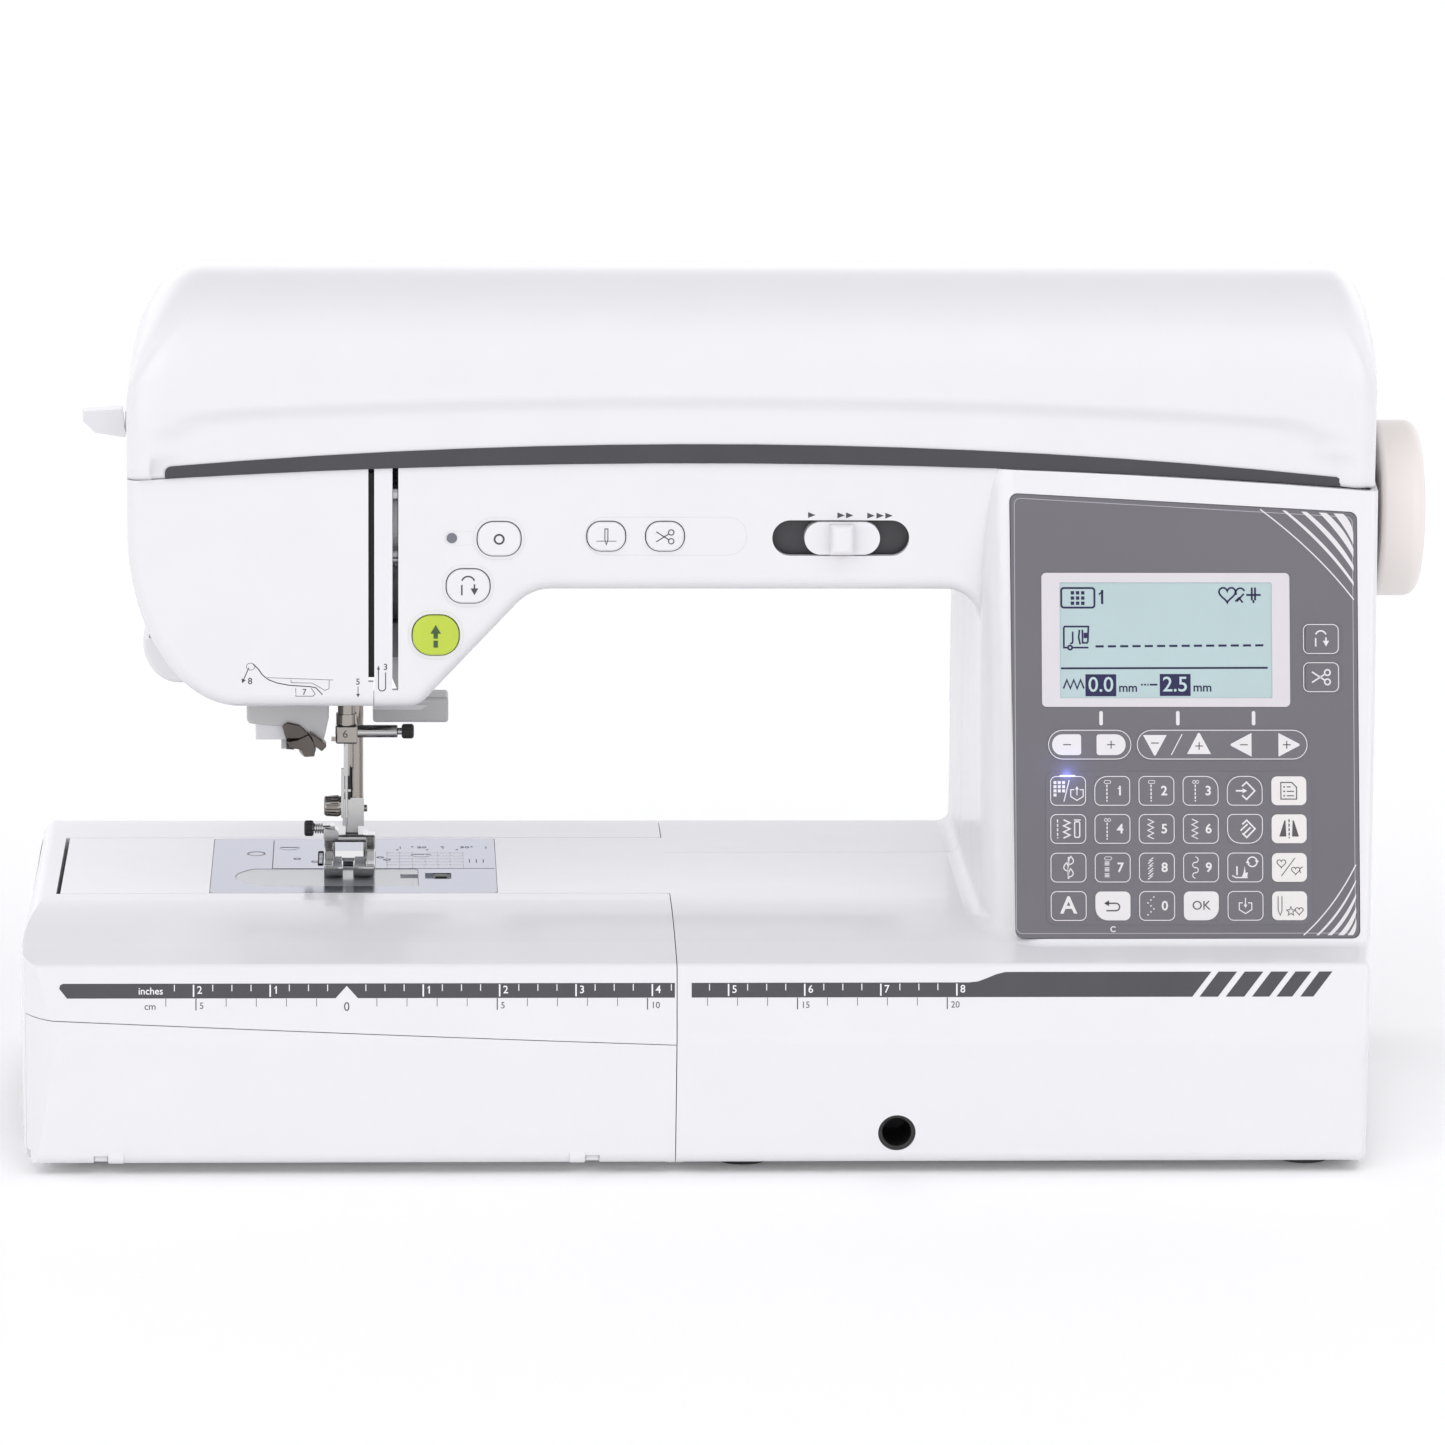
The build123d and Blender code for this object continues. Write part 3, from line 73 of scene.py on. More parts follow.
def sun(name, toward, spread, strength, colour=(1, 1, 1)):
    """Soft distant light that shines along the given direction."""
    data = bpy.data.lights.new(name, "SUN")
    data.angle = radians(spread)
    data.energy = strength
    data.color = colour
    light = bpy.data.objects.new(name, data)
    light.rotation_mode = "QUATERNION"
    light.rotation_quaternion = Vector(toward).to_track_quat("-Z", "Y")
    bpy.context.scene.collection.objects.link(light)


def make_studio():
    """Even white tent, a little darker overhead and behind the camera, with soft suns from the front."""
    world = bpy.data.worlds.new("studio")
    world.use_nodes = True
    nodes, links = world.node_tree.nodes, world.node_tree.links
    place = nodes.new("ShaderNodeTexCoord")
    parts = nodes.new("ShaderNodeSeparateXYZ")
    links.new(place.outputs["Generated"], parts.inputs["Vector"])
    height = nodes.new("ShaderNodeValToRGB")
    stops = [(0.00, 0.94), (0.25, 1.06), (0.66, 1.14), (0.84, 0.70), (1.00, 0.48)]
    ramp = height.color_ramp
    while len(ramp.elements) < len(stops):
        ramp.elements.new(0.5)
    for element, (position, level) in zip(ramp.elements, stops):
        element.position = position
        element.color = (0.985 * level, 0.985 * level, 1.015 * level, 1)
    tilt = nodes.new("ShaderNodeVectorMath")
    tilt.operation = "DOT_PRODUCT"
    tilt.inputs[1].default_value = (0.0, 0.50, 0.866)
    links.new(place.outputs["Generated"], tilt.inputs[0])
    links.new(tilt.outputs["Value"], height.inputs["Fac"])
    # dark gaps between the light panels, far to the front and to both sides
    turn = nodes.new("ShaderNodeMath")
    turn.operation = "ARCTAN2"
    links.new(parts.outputs["X"], turn.inputs[0])
    links.new(parts.outputs["Y"], turn.inputs[1])
    gaps = nodes.new("ShaderNodeValToRGB")
    share = nodes.new("ShaderNodeMapRange")
    share.inputs["From Min"].default_value = -pi
    share.inputs["From Max"].default_value = pi
    links.new(turn.outputs["Value"], share.inputs["Value"])
    links.new(share.outputs["Result"], gaps.inputs["Fac"])
    bands = [(0.00, 0.62), (0.045, 1.08), (0.17, 1.14), (0.215, 0.10), (0.26, 1.02), (0.74, 1.02), (0.785, 0.10),
             (0.83, 1.14), (0.955, 1.08), (1.00, 0.62)]
    ramp = gaps.color_ramp
    while len(ramp.elements) < len(bands):
        ramp.elements.new(0.5)
    for element, (position, level) in zip(ramp.elements, bands):
        element.position = position
        element.color = (level, level, level, 1)
    mix = nodes.new("ShaderNodeMixRGB")
    mix.blend_type = "MULTIPLY"
    mix.inputs["Fac"].default_value = 1.0
    links.new(height.outputs["Color"], mix.inputs["Color1"])
    links.new(gaps.outputs["Color"], mix.inputs["Color2"])
    links.new(mix.outputs["Color"], nodes["Background"].inputs["Color"])
    nodes["Background"].inputs["Strength"].default_value = WORLD_LEVEL
    bpy.context.scene.world = world
    bpy.context.scene.view_settings.view_transform = "Standard"
    sun("front_left_sun", (0.75, 1.0, -0.50), 50, 0.36, (1.0, 0.995, 0.985))
    sun("front_right_sun", (-0.75, 0.8, -0.55), 60, 0.22, (1.0, 0.97, 0.95))


def make_floor(material):
    mesh = bpy.data.meshes.new("floor")
    steps, reach = 96, 14.0
    rim = [(reach * cos(2 * pi * i / steps), reach * sin(2 * pi * i / steps), 0) for i in range(steps)]
    mesh.from_pydata(rim, [], [tuple(range(steps))])
    mesh.materials.append(material)
    floor = bpy.data.objects.new("floor", mesh)
    bpy.context.scene.collection.objects.link(floor)


# ---- materials --------------------------------------------------------------------------------------
def material(name, colour, roughness, metallic=0.0, coat=0.0, grain=0.0, grain_scale=2600.0,
             tint=0.02, tint_scale=45.0, rough_spread=0.04, brushed=None, glow=0.0, extra=None):
    """Moulded or metal surface: colour mottling, uneven gloss and fine relief, all from noise in object space."""
    made = bpy.data.materials.new(name)
    made.use_nodes = True
    tree = made.node_tree
    nodes, links = tree.nodes, tree.links
    shader = nodes["Principled BSDF"]
    place = nodes.new("ShaderNodeTexCoord")
    stretch = nodes.new("ShaderNodeMapping")
    stretch.inputs["Scale"].default_value = brushed or (1, 1, 1)
    links.new(place.outputs["Object"], stretch.inputs["Vector"])

    cloud = nodes.new("ShaderNodeTexNoise")
    cloud.inputs["Scale"].default_value = tint_scale
    cloud.inputs["Detail"].default_value = 4
    links.new(stretch.outputs["Vector"], cloud.inputs["Vector"])

    dark = tuple(max(0.0, c * (1 - tint)) for c in colour)
    light = tuple(min(1.0, c * (1 + tint)) for c in colour)
    shades = nodes.new("ShaderNodeValToRGB")
    shades.color_ramp.elements[0].position = 0.3
    shades.color_ramp.elements[1].position = 0.7
    shades.color_ramp.elements[0].color = (*dark, 1)
    shades.color_ramp.elements[1].color = (*light, 1)
    links.new(cloud.outputs["Fac"], shades.inputs["Fac"])
    links.new(shades.outputs["Color"], shader.inputs["Base Color"])

    fine = nodes.new("ShaderNodeTexNoise")
    fine.inputs["Scale"].default_value = grain_scale
    fine.inputs["Detail"].default_value = 2
    links.new(stretch.outputs["Vector"], fine.inputs["Vector"])
    gloss = nodes.new("ShaderNodeMapRange")
    gloss.inputs["To Min"].default_value = max(0.02, roughness - rough_spread)
    gloss.inputs["To Max"].default_value = min(1.0, roughness + rough_spread)
    links.new(cloud.outputs["Fac"], gloss.inputs["Value"])
    links.new(gloss.outputs["Result"], shader.inputs["Roughness"])
    if grain:
        relief = nodes.new("ShaderNodeBump")
        relief.inputs["Strength"].default_value = 1.0
        relief.inputs["Distance"].default_value = grain
        links.new(fine.outputs["Fac"], relief.inputs["Height"])
        links.new(relief.outputs["Normal"], shader.inputs["Normal"])
    shader.inputs["Metallic"].default_value = metallic
    shader.inputs["Coat Weight"].default_value = coat
    shader.inputs["Coat Roughness"].default_value = 0.06
    if glow:
        shader.inputs["Emission Color"].default_value = (*colour, 1)
        shader.inputs["Emission Strength"].default_value = glow
    for socket, value in (extra or {}).items():
        shader.inputs[socket].default_value = value
    return made


MATERIALS = {
    "gloss_white": material("gloss_white", (0.765, 0.760, 0.775), 0.24, coat=0.35, grain=2e-6, grain_scale=900, tint=0.006),
    "warm_white": material("warm_white", (0.82, 0.765, 0.735), 0.36, grain=4e-6, grain_scale=1800, tint=0.01),
    "light_grey": material("light_grey", (0.56, 0.56, 0.56), 0.35, grain=4e-6, grain_scale=1800),
    "dark_grey": material("dark_grey", (0.050, 0.048, 0.055), 0.40, grain=6e-6, grain_scale=2600, tint=0.06),
    "panel_grey": material("panel_grey", (0.143, 0.136, 0.154), 0.36, grain=5e-6, grain_scale=3200, tint=0.04,
                           tint_scale=20, brushed=(0.25, 1, 1)),
    "screen": material("screen", (0.42, 0.535, 0.545), 0.14, coat=0.3, tint=0.015, glow=0.06),
    "key_film": material("key_film", (0.148, 0.141, 0.159), 0.32, grain=5e-6, grain_scale=3200, tint=0.04),
    "green": material("green", (0.455, 0.575, 0.035), 0.16, coat=0.5, tint=0.03, glow=0.06),
    "lamp": material("lamp", (0.16, 0.16, 0.20), 0.2, coat=0.5),
    "steel": material("steel", (0.355, 0.365, 0.43), 0.17, metallic=1.0, grain=1e-6, grain_scale=900,
                      brushed=(1, 9, 9), tint=0.015, rough_spread=0.03),
    "chrome": material("chrome", (0.57, 0.565, 0.555), 0.13, metallic=1.0, grain=1.5e-6, grain_scale=1500, tint=0.04),
    "casting": material("casting", (0.30, 0.30, 0.31), 0.55, metallic=0.6, grain=2.5e-5, grain_scale=900, tint=0.12),
    "brass": material("brass", (0.60, 0.48, 0.28), 0.25, metallic=1.0, grain=2e-6),
    "black": material("black", (0.014, 0.013, 0.013), 0.38, grain=8e-6, grain_scale=2200, tint=0.2),
    "rubber": material("rubber", (0.05, 0.05, 0.052), 0.75, grain=1.2e-5, grain_scale=1600, tint=0.15),
    "clear": material("clear", (0.78, 0.80, 0.84), 0.12, coat=0.4,
                      extra={"Transmission Weight": 0.75, "IOR": 1.49}),
    "nickel": material("nickel", (0.37, 0.34, 0.31), 0.16, metallic=1.0, grain=1.5e-6, grain_scale=1500,
                       brushed=(1, 1, 0.2), tint=0.08),
    "brown_metal": material("brown_metal", (0.115, 0.100, 0.090), 0.28, metallic=0.7, grain=6e-6, grain_scale=900, tint=0.25),
    "bezel": material("bezel", (0.65, 0.62, 0.65), 0.38, grain=4e-6, grain_scale=1800, tint=0.01),
    "brown": material("brown", (0.085, 0.060, 0.048), 0.40, grain=5e-6),
    "ink_light": material("ink_light", (0.72, 0.70, 0.71), 0.45, grain=2e-6, tint=0.02),
    "ink_cream": material("ink_cream", (0.74, 0.715, 0.70), 0.42, grain=2e-6, tint=0.02),
    "ink_dark": material("ink_dark", (0.075, 0.070, 0.078), 0.45, grain=2e-6, tint=0.05),
    "ink_band": material("ink_band", (0.062, 0.061, 0.069), 0.42, grain=2e-6, tint=0.05),
    "ink_white": material("ink_white", (0.84, 0.84, 0.85), 0.45, grain=2e-6, tint=0.01),
    "ink_green": material("ink_green", (0.045, 0.10, 0.03), 0.4, grain=2e-6, tint=0.05),
    "lcd_ink": material("lcd_ink", (0.008, 0.007, 0.060), 0.55, tint=0.08),
    "lcd_light": material("lcd_light", (0.47, 0.60, 0.62), 0.2, coat=0.5, tint=0.02),
    # painted highlight for the light caught on the operation panel's edge
    "painted_highlight_line": material("painted_highlight_line", (0.42, 0.42, 0.45), 0.3, grain=2e-6, tint=0.02),
    "seam_line": material("seam_line", (0.60, 0.60, 0.62), 0.35, grain=2e-6, tint=0.02),
    "blue_light": material("blue_light", (0.62, 0.78, 1.0), 0.3, tint=0.02, glow=2.2),
    "floor": material("floor", (0.95, 0.95, 0.955), 0.75, grain=0, tint=0.003, tint_scale=2, glow=0.06),
}


OWN_FINISH = {
    "display_bezel": "bezel",
    "side_cutter": "gloss_white",
    "needle_bar": "nickel",
    "presser_bar": "nickel",
    "foot_holder": "chrome",
}


def dress_cad_nodes():
    """Every CAD node keeps its mesh and takes the finish of its own material slot."""
    for node in NODES.values():
        slots = node.data.materials
        for i, old in enumerate(slots):
            name = old.name.split(".")[0]
            slots[i] = MATERIALS[OWN_FINISH.get(node.name, name)]


# ---- lid --------------------------------------------------------------------------------------------
def arc_through(points, x):
    """Height at x of the circle through three (x, z) points."""
    (x1, z1), (x2, z2), (x3, z3) = points
    d = 2 * (x1 * (z2 - z3) + x2 * (z3 - z1) + x3 * (z1 - z2))
    q1, q2, q3 = x1 * x1 + z1 * z1, x2 * x2 + z2 * z2, x3 * x3 + z3 * z3
    cx = (q1 * (z2 - z3) + q2 * (z3 - z1) + q3 * (z1 - z2)) / d
    cz = (q1 * (x3 - x2) + q2 * (x1 - x3) + q3 * (x2 - x1)) / d
    radius = hypot(x1 - cx, z1 - cz)
    return cz + sqrt(radius * radius - (x - cx) ** 2)


PARTING = ((-206.0, 224.3), (-1.5, 231.0), (228.0, 221.5))
LID_X0, LID_X1 = -202.0, 223.0
LID_BACK_Y = 78.7
LID_CREST = (-5.0, 290.6)
LID_LIP_Z = 251.5


def smooth(t):
    t = min(1.0, max(0.0, t))
    return t * t * (3 - 2 * t)


def band_height(x):
    """How far above the parting line the soft crease over the trim strip runs."""
    half, corner, tall = 203.0, 22.0, 20.5
    into = (abs(x - 9.0) - (half - corner)) / corner
    if into <= 0:
        return tall
    return tall * sqrt(max(0.0, 1 - into * into)) if into < 1 else 0.0


def lid_point(u, x):
    """Section of the lid: u runs from the front lower edge over the crest to the rear edge."""
    crest_y, crest_z = LID_CREST
    low = arc_through(PARTING, x) + 0.25
    knee_z = 256.0
    if u < 0.34:
        z = low + (knee_z - low) * u / 0.34
        y = -52.6 - 2.4 * smooth((z - low - band_height(x) + 3.0) / 6.0)
        return y, z
    if u < 0.70:
        a = (u - 0.34) / 0.36 * pi / 2
        return crest_y - 50.0 * cos(a) ** 0.94, knee_z + (crest_z - knee_z) * sin(a) ** 0.94
    y = crest_y + (LID_BACK_Y - crest_y) * (u - 0.70) / 0.30
    return y, 236.0 + (crest_z - 236.0) * sqrt(1 - ((y - crest_y) / 93.0) ** 2)


def make_lid():
    """Thin smooth shell standing for the CAD lid: both ends are rounded in every direction."""
    rows = 72
    mid_columns, end_columns = 60, 14
    mesh = bpy.data.meshes.new("lid_shell")
    bm = bmesh.new()
    columns, ends = [], []
    for j in range(-end_columns, mid_columns + end_columns + 1):
        column = []
        last_y, last_z = -99.0, 0.0
        for i in range(rows + 1):
            u = i / rows
            over = smooth((u - 0.20) / 0.45)
            left_run, right_run = 9.0 + 16.0 * over, 7.0 + 9.0 * over
            if j < 0:
                turn = -j / end_columns * pi / 2
                x = LID_X0 + left_run * (1 - sin(turn))
                drop, inset = 1 - cos(turn), "left"
            elif j > mid_columns:
                turn = (j - mid_columns) / end_columns * pi / 2
                x = LID_X1 - right_run * (1 - sin(turn))
                drop, inset = 1 - cos(turn), "right"
            else:
                share = j / mid_columns
                x = LID_X0 + left_run + (LID_X1 - right_run - LID_X0 - left_run) * share
                drop, inset = 0.0, "none"
            y, z = lid_point(u, x)
            fall = {"left": 40.0, "right": 30.0, "none": 0.0}[inset]
            z -= drop * fall * over
            y += drop * 7.0 * (1 - over)
            if x > 150:
                side = 4.0 * ((y - 20.0) / 72.0) ** 2 if y < 20 else 0.0
                x -= side * smooth((x - 150.0) / 70.0)
            low = arc_through(PARTING, x) + 0.25
            z = max(z, low if u < 0.7 else LID_LIP_Z + 0.3)
            if inset != "none" and u > 0.2:
                # the outline never folds back on itself where the end is pulled down
                y = max(y, last_y + 0.02)
                if u < 0.4:
                    z = max(z, last_z + 0.05)
            last_y, last_z = y, z
            column.append(bm.verts.new((x * MM, y * MM, z * MM)))
        # rear lip that reaches down to the rear cover
        column.append(bm.verts.new((x * MM, y * MM, max(low, min(LID_LIP_Z, z - 0.5)) * MM)))
        columns.append(column)
    for a, b in zip(columns, columns[1:]):
        for i in range(rows + 1):
            bm.faces.new((a[i], b[i], b[i + 1], a[i + 1])).smooth = True
    for column in (columns[0], columns[-1]):
        x = column[-1].co.x
        low_z = (arc_through(PARTING, x / MM) + 0.25) * MM
        loop = list(column)
        inner_y = (LID_BACK_Y - 2.2) * MM
        loop.append(bm.verts.new((x, inner_y, column[-1].co.z)))
        loop.append(bm.verts.new((x, inner_y, low_z)))
        ends.append(bm.faces.new(loop))
    bmesh.ops.recalc_face_normals(bm, faces=bm.faces)
    bm.normal_update()
    for face, side in zip(ends, (-1, 1)):
        if face.normal.x * side < 0:
            face.normal_flip()
    bm.to_mesh(mesh)
    bm.free()
    lid = add_piece("lid_shell", mesh, "lid", MATERIALS["gloss_white"], smooth_shade=False)
    shell = lid.modifiers.new("wall", "SOLIDIFY")
    shell.thickness = 2.4 * MM
    shell.offset = -1
    return lid


# ---- pieces -----------------------------------------------------------------------------------------
def add_piece(name, mesh, body, finish=None, smooth_shade=True):
    if finish is not None:
        mesh.materials.append(finish)
    if smooth_shade:
        mesh.shade_smooth()
    piece = bpy.data.objects.new(name, mesh)
    bpy.context.scene.collection.objects.link(piece)
    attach(piece, body)
    return piece


# ---- printed graphics -------------------------------------------------------------------------------
class Print:
    """Flat printed shapes in millimetres, (u, v) with u to the right and v upwards, seen from outside."""

    def __init__(self):
        self.points, self.faces = [], []

    def polygon(self, points):
        ring = [Vector((u, v, 0)) for u, v in points]
        ring = [p for i, p in enumerate(ring) if (p - ring[i - 1]).length > 1e-3]
        first = len(self.points)
        self.points += [(p.x, p.y) for p in ring]
        for a, b, c in tessellate_polygon([ring]):
            pa, pb, pc = ring[a], ring[b], ring[c]
            turn = (pb.x - pa.x) * (pc.y - pa.y) - (pb.y - pa.y) * (pc.x - pa.x)
            if abs(turn) > 1e-9:
                face = (a, b, c) if turn > 0 else (a, c, b)
                self.faces.append(tuple(first + i for i in face))

    def stroke(self, points, width, closed=False):
        points = [p for i, p in enumerate(points) if i == 0 or hypot(p[0] - points[i - 1][0], p[1] - points[i - 1][1]) > 1e-3]
        if closed and hypot(points[0][0] - points[-1][0], points[0][1] - points[-1][1]) < 1e-3:
            points.pop()
        count = len(points)
        half = width / 2
        first = len(self.points)
        for i, (u, v) in enumerate(points):
            before = points[i - 1] if i > 0 or closed else None
            after = points[(i + 1) % count] if i < count - 1 or closed else None
            runs = []
            if before is not None:
                runs.append(Vector((u - before[0], v - before[1])).normalized())
            if after is not None:
                runs.append(Vector((after[0] - u, after[1] - v)).normalized())
            along = sum(runs, Vector((0, 0))).normalized() if len(runs) == 2 else runs[0]
            reach = half / max(0.5, along.dot(runs[0]))
            side = Vector((-along.y, along.x)) * reach
            self.points += [(u + side.x, v + side.y), (u - side.x, v - side.y)]
        for i in range(count if closed else count - 1):
            a, b = first + 2 * i, first + 2 * ((i + 1) % count)
            self.faces.append((a, a + 1, b + 1, b))

    def line(self, u0, v0, u1, v1, width):
        self.stroke([(u0, v0), (u1, v1)], width)

    def dashes(self, u0, v0, u1, v1, width, dash, gap):
        length = hypot(u1 - u0, v1 - v0)
        du, dv = (u1 - u0) / length, (v1 - v0) / length
        at = 0.0
        while at < length - 1e-6:
            end = min(length, at + dash)
            self.line(u0 + du * at, v0 + dv * at, u0 + du * end, v0 + dv * end, width)
            at += dash + gap

    def disc(self, u, v, radius, steps=20):
        self.polygon(circle(u, v, radius, steps))

    def ring(self, u, v, radius, width, steps=28):
        self.stroke(circle(u, v, radius, steps), width, closed=True)

    def block(self, u0, v0, u1, v1):
        self.polygon([(u0, v0), (u1, v0), (u1, v1), (u0, v1)])

    def text(self, words, u, v, height, bold=0.0, align="CENTER"):
        data = bpy.data.curves.new("glyphs", "FONT")
        data.body = words
        data.align_x = align
        data.align_y = "CENTER"
        data.size = height / 0.70
        data.offset = bold
        data.resolution_u = 3
        carrier = bpy.data.objects.new("glyphs", data)
        mesh = bpy.data.meshes.new_from_object(carrier)
        first = len(self.points)
        self.points += [(u + p.co.x, v + p.co.y) for p in mesh.vertices]
        for face in mesh.polygons:
            corners = [first + i for i in face.vertices]
            self.faces.append(tuple(corners if face.normal.z > 0 else reversed(corners)))
        bpy.data.objects.remove(carrier)
        bpy.data.meshes.remove(mesh)
        bpy.data.curves.remove(data)
        if words == "1":
            # the built-in face draws a bare stem: give the figure its flag
            flag = [(u + 0.02 * height, v + 0.44 * height), (u - 0.24 * height, v + 0.24 * height)]
            self.stroke(flag, 0.11 * height)


def circle(u, v, radius, steps=20):
    return [(u + radius * cos(2 * pi * i / steps), v + radius * sin(2 * pi * i / steps)) for i in range(steps)]


def arc(u, v, radius, start, end, steps=12):
    """Points of an arc; angles in degrees, anticlockwise from +u."""
    turns = [radians(start + (end - start) * i / steps) for i in range(steps + 1)]
    return [(u + radius * cos(a), v + radius * sin(a)) for a in turns]


def rounded(u, v, width, height, radii):
    """Outline of a box with its own radius at the top left, top right, bottom right and bottom left corner."""
    if not isinstance(radii, tuple):
        radii = (radii,) * 4
    tl, tr, br, bl = radii
    l, r, b, t = u - width / 2, u + width / 2, v - height / 2, v + height / 2
    outline = arc(r - tr, t - tr, tr, 0, 90, 6) + arc(l + tl, t - tl, tl, 90, 180, 6)
    return outline + arc(l + bl, b + bl, bl, 180, 270, 6) + arc(r - br, b + br, br, 270, 360, 6)


def bezier(a, b, c, steps=16):
    """Curve from a to c that leans towards b."""
    made = []
    for i in range(steps + 1):
        t = i / steps
        made.append(tuple((1 - t) ** 2 * p + 2 * t * (1 - t) * q + t * t * r for p, q, r in zip(a, b, c)))
    return made


def heart(u, v, size, steps=24):
    made = []
    for i in range(steps):
        a = 2 * pi * i / steps
        x = 16 * sin(a) ** 3
        y = 13 * cos(a) - 5 * cos(2 * a) - 2 * cos(3 * a) - cos(4 * a)
        made.append((u + x * size / 34, v + (y + 2.5) * size / 34))
    return made


def star(u, v, radius):
    return [(u + radius * (1 if i % 2 == 0 else 0.42) * sin(pi * i / 5),
             v + radius * (1 if i % 2 == 0 else 0.42) * cos(pi * i / 5)) for i in range(10)]


def lay(shapes, name, body, finish, place, thickness=0.07):
    """Turns a Print into a thin closed piece on the surface that place(u, v) describes, in metres."""
    mesh = bpy.data.meshes.new(name)
    mesh.from_pydata([place(u, v) for u, v in shapes.points], [], shapes.faces)
    mesh.update()
    piece = add_piece(name, mesh, body, finish, smooth_shade=False)
    ink = piece.modifiers.new("ink", "SOLIDIFY")
    ink.thickness = thickness * MM
    ink.offset = -1
    return piece


LEAN = atan2(42.5, 153.0)


def on_panel(height):
    """Points on the leaning panel: u is X, v runs up the slope from the panel's foot."""
    def place(u, v):
        y = -96.0 + v * sin(LEAN) - height * cos(LEAN)
        z = 77.0 + v * cos(LEAN) + height * sin(LEAN)
        return Vector((u, y, z)) * MM
    return place


def on_front(y):
    return lambda u, v: Vector((u, y, v)) * MM


def on_top(z):
    return lambda u, v: Vector((u, v, z)) * MM


def against(node, lift=0.05, toward=(0, 1, 0), start=-200.0):
    """Points dropped along Y on to a node's own surface."""
    mesh = NODES[node].data
    tree = BVHTree.FromPolygons([p.co for p in mesh.vertices], [tuple(f.vertices) for f in mesh.polygons])

    def place(u, v):
        hit, normal, _, _ = tree.ray_cast(Vector((u, start, v)) * MM, Vector(toward))
        if hit is None:
            return Vector((u, -115.0, v)) * MM
        if normal.y > 0:
            normal = -normal
        return hit + normal * lift * MM
    return place


# ---- operation panel --------------------------------------------------------------------------------
COLUMNS = [114.0 + 14.9 * i for i in range(6)]
ROWS = [49.5, 36.7, 23.7, 10.8]
KEY_W, KEY_H, KEY_R = 11.8, 9.7, 1.9
LINE = 0.27


def numbered_key(ink, column, row, number):
    u, v = COLUMNS[column], ROWS[row]
    ink.text(str(number), u + 2.6, v - 0.1, 3.1, bold=0.09)


def stitch(ink, u, v, form):
    """Small stitch picture at the left of a numbered key."""
    if form in ("bar", "figure", "none"):
        if form == "bar":
            ink.stroke(rounded(u + 0.5, v + 3.0, 2.2, 1.0, 0.48), 0.2, closed=True)
        else:
            ink.ring(u - 0.1, v + 3.0, 0.5, 0.2, 12)
            ink.ring(u + 1.0, v + 3.0, 0.5, 0.2, 12)
        ink.dashes(u + 0.3, v + 2.1, u + 0.3, v - 3.6, 0.42, 0.9, 0.4)
    elif form == "zigzag":
        turns = [(u + (1.1 if i % 2 else -0.9), v + 3.3 - 0.95 * i) for i in range(8)]
        ink.stroke(turns, 0.34)
    elif form == "slant":
        for i in range(4):
            top = v + 3.3 - 1.75 * i
            ink.stroke([(u + 0.9, top), (u - 0.5, top - 1.0), (u + 0.6, top - 0.9), (u - 0.9, top - 2.0)], 0.36)
    elif form == "wave":
        turns = []
        for i in range(4):
            side = 1 if i % 2 == 0 else -1
            turns += arc(u + 0.2, v + 2.6 - 1.75 * i, 0.95, 90, 90 - side * 180, 6)
        ink.stroke(turns, 0.3)
    elif form == "dots":
        for i in range(7):
            ink.disc(u + (1.0, 0.0, -1.0, 0.0)[i % 4], v + 3.0 - 1.0 * i, 0.27, 10)
    elif form == "blocks":
        ink.stroke(rounded(u + 0.6, v + 3.1, 2.4, 1.0, 0.48), 0.2, closed=True)
        for i in range(3):
            for j in range(3):
                ink.line(u - 0.6, v + 1.9 - 2.0 * i - 0.5 * j, u + 1.0, v + 1.9 - 2.0 * i - 0.5 * j, 0.3)


def arrow(ink, tip, tail, width, head):
    """Straight arrow from tail to tip."""
    run = Vector((tip[0] - tail[0], tip[1] - tail[1])).normalized()
    side = Vector((-run.y, run.x))
    neck = Vector(tip) - run * head
    ink.stroke([tail, tuple(neck)], width)
    ink.polygon([tip, tuple(neck + side * head * 0.55), tuple(neck - side * head * 0.55)])


def pocket(ink, u, v, up):
    """Pocket with an arrow going in or out."""
    outline = [(u - 0.9, v + 1.3), (u - 2.1, v + 1.3), (u - 2.1, v - 1.0), (u, v - 2.3),
               (u + 2.1, v - 1.0), (u + 2.1, v + 1.3), (u + 0.9, v + 1.3)]
    ink.stroke(outline, 0.34)
    if up:
        arrow(ink, (u, v + 2.5), (u, v - 0.6), 0.34, 1.1)
    else:
        arrow(ink, (u, v - 0.4), (u, v + 3.0), 0.34, 1.1)


def reinforce(ink, u, v, size, width):
    """Stitch going up, over and down again."""
    ink.stroke(arc(u, v + 0.20 * size, 0.40 * size, 160, 20, 12), width)
    ink.line(u - 0.38 * size, v + 0.08 * size, u - 0.38 * size, v - 0.55 * size, width)
    arrow(ink, (u + 0.38 * size, v - 0.55 * size), (u + 0.38 * size, v + 0.12 * size), width, 0.42 * size)


def scissors(ink, u, v, size, width):
    ink.line(u - 0.55 * size, v + 0.32 * size, u + 0.22 * size, v - 0.18 * size, width)
    ink.line(u - 0.55 * size, v - 0.32 * size, u + 0.22 * size, v + 0.18 * size, width)
    ink.ring(u + 0.38 * size, v + 0.28 * size, 0.17 * size, width, 16)
    ink.ring(u + 0.38 * size, v - 0.28 * size, 0.17 * size, width, 16)


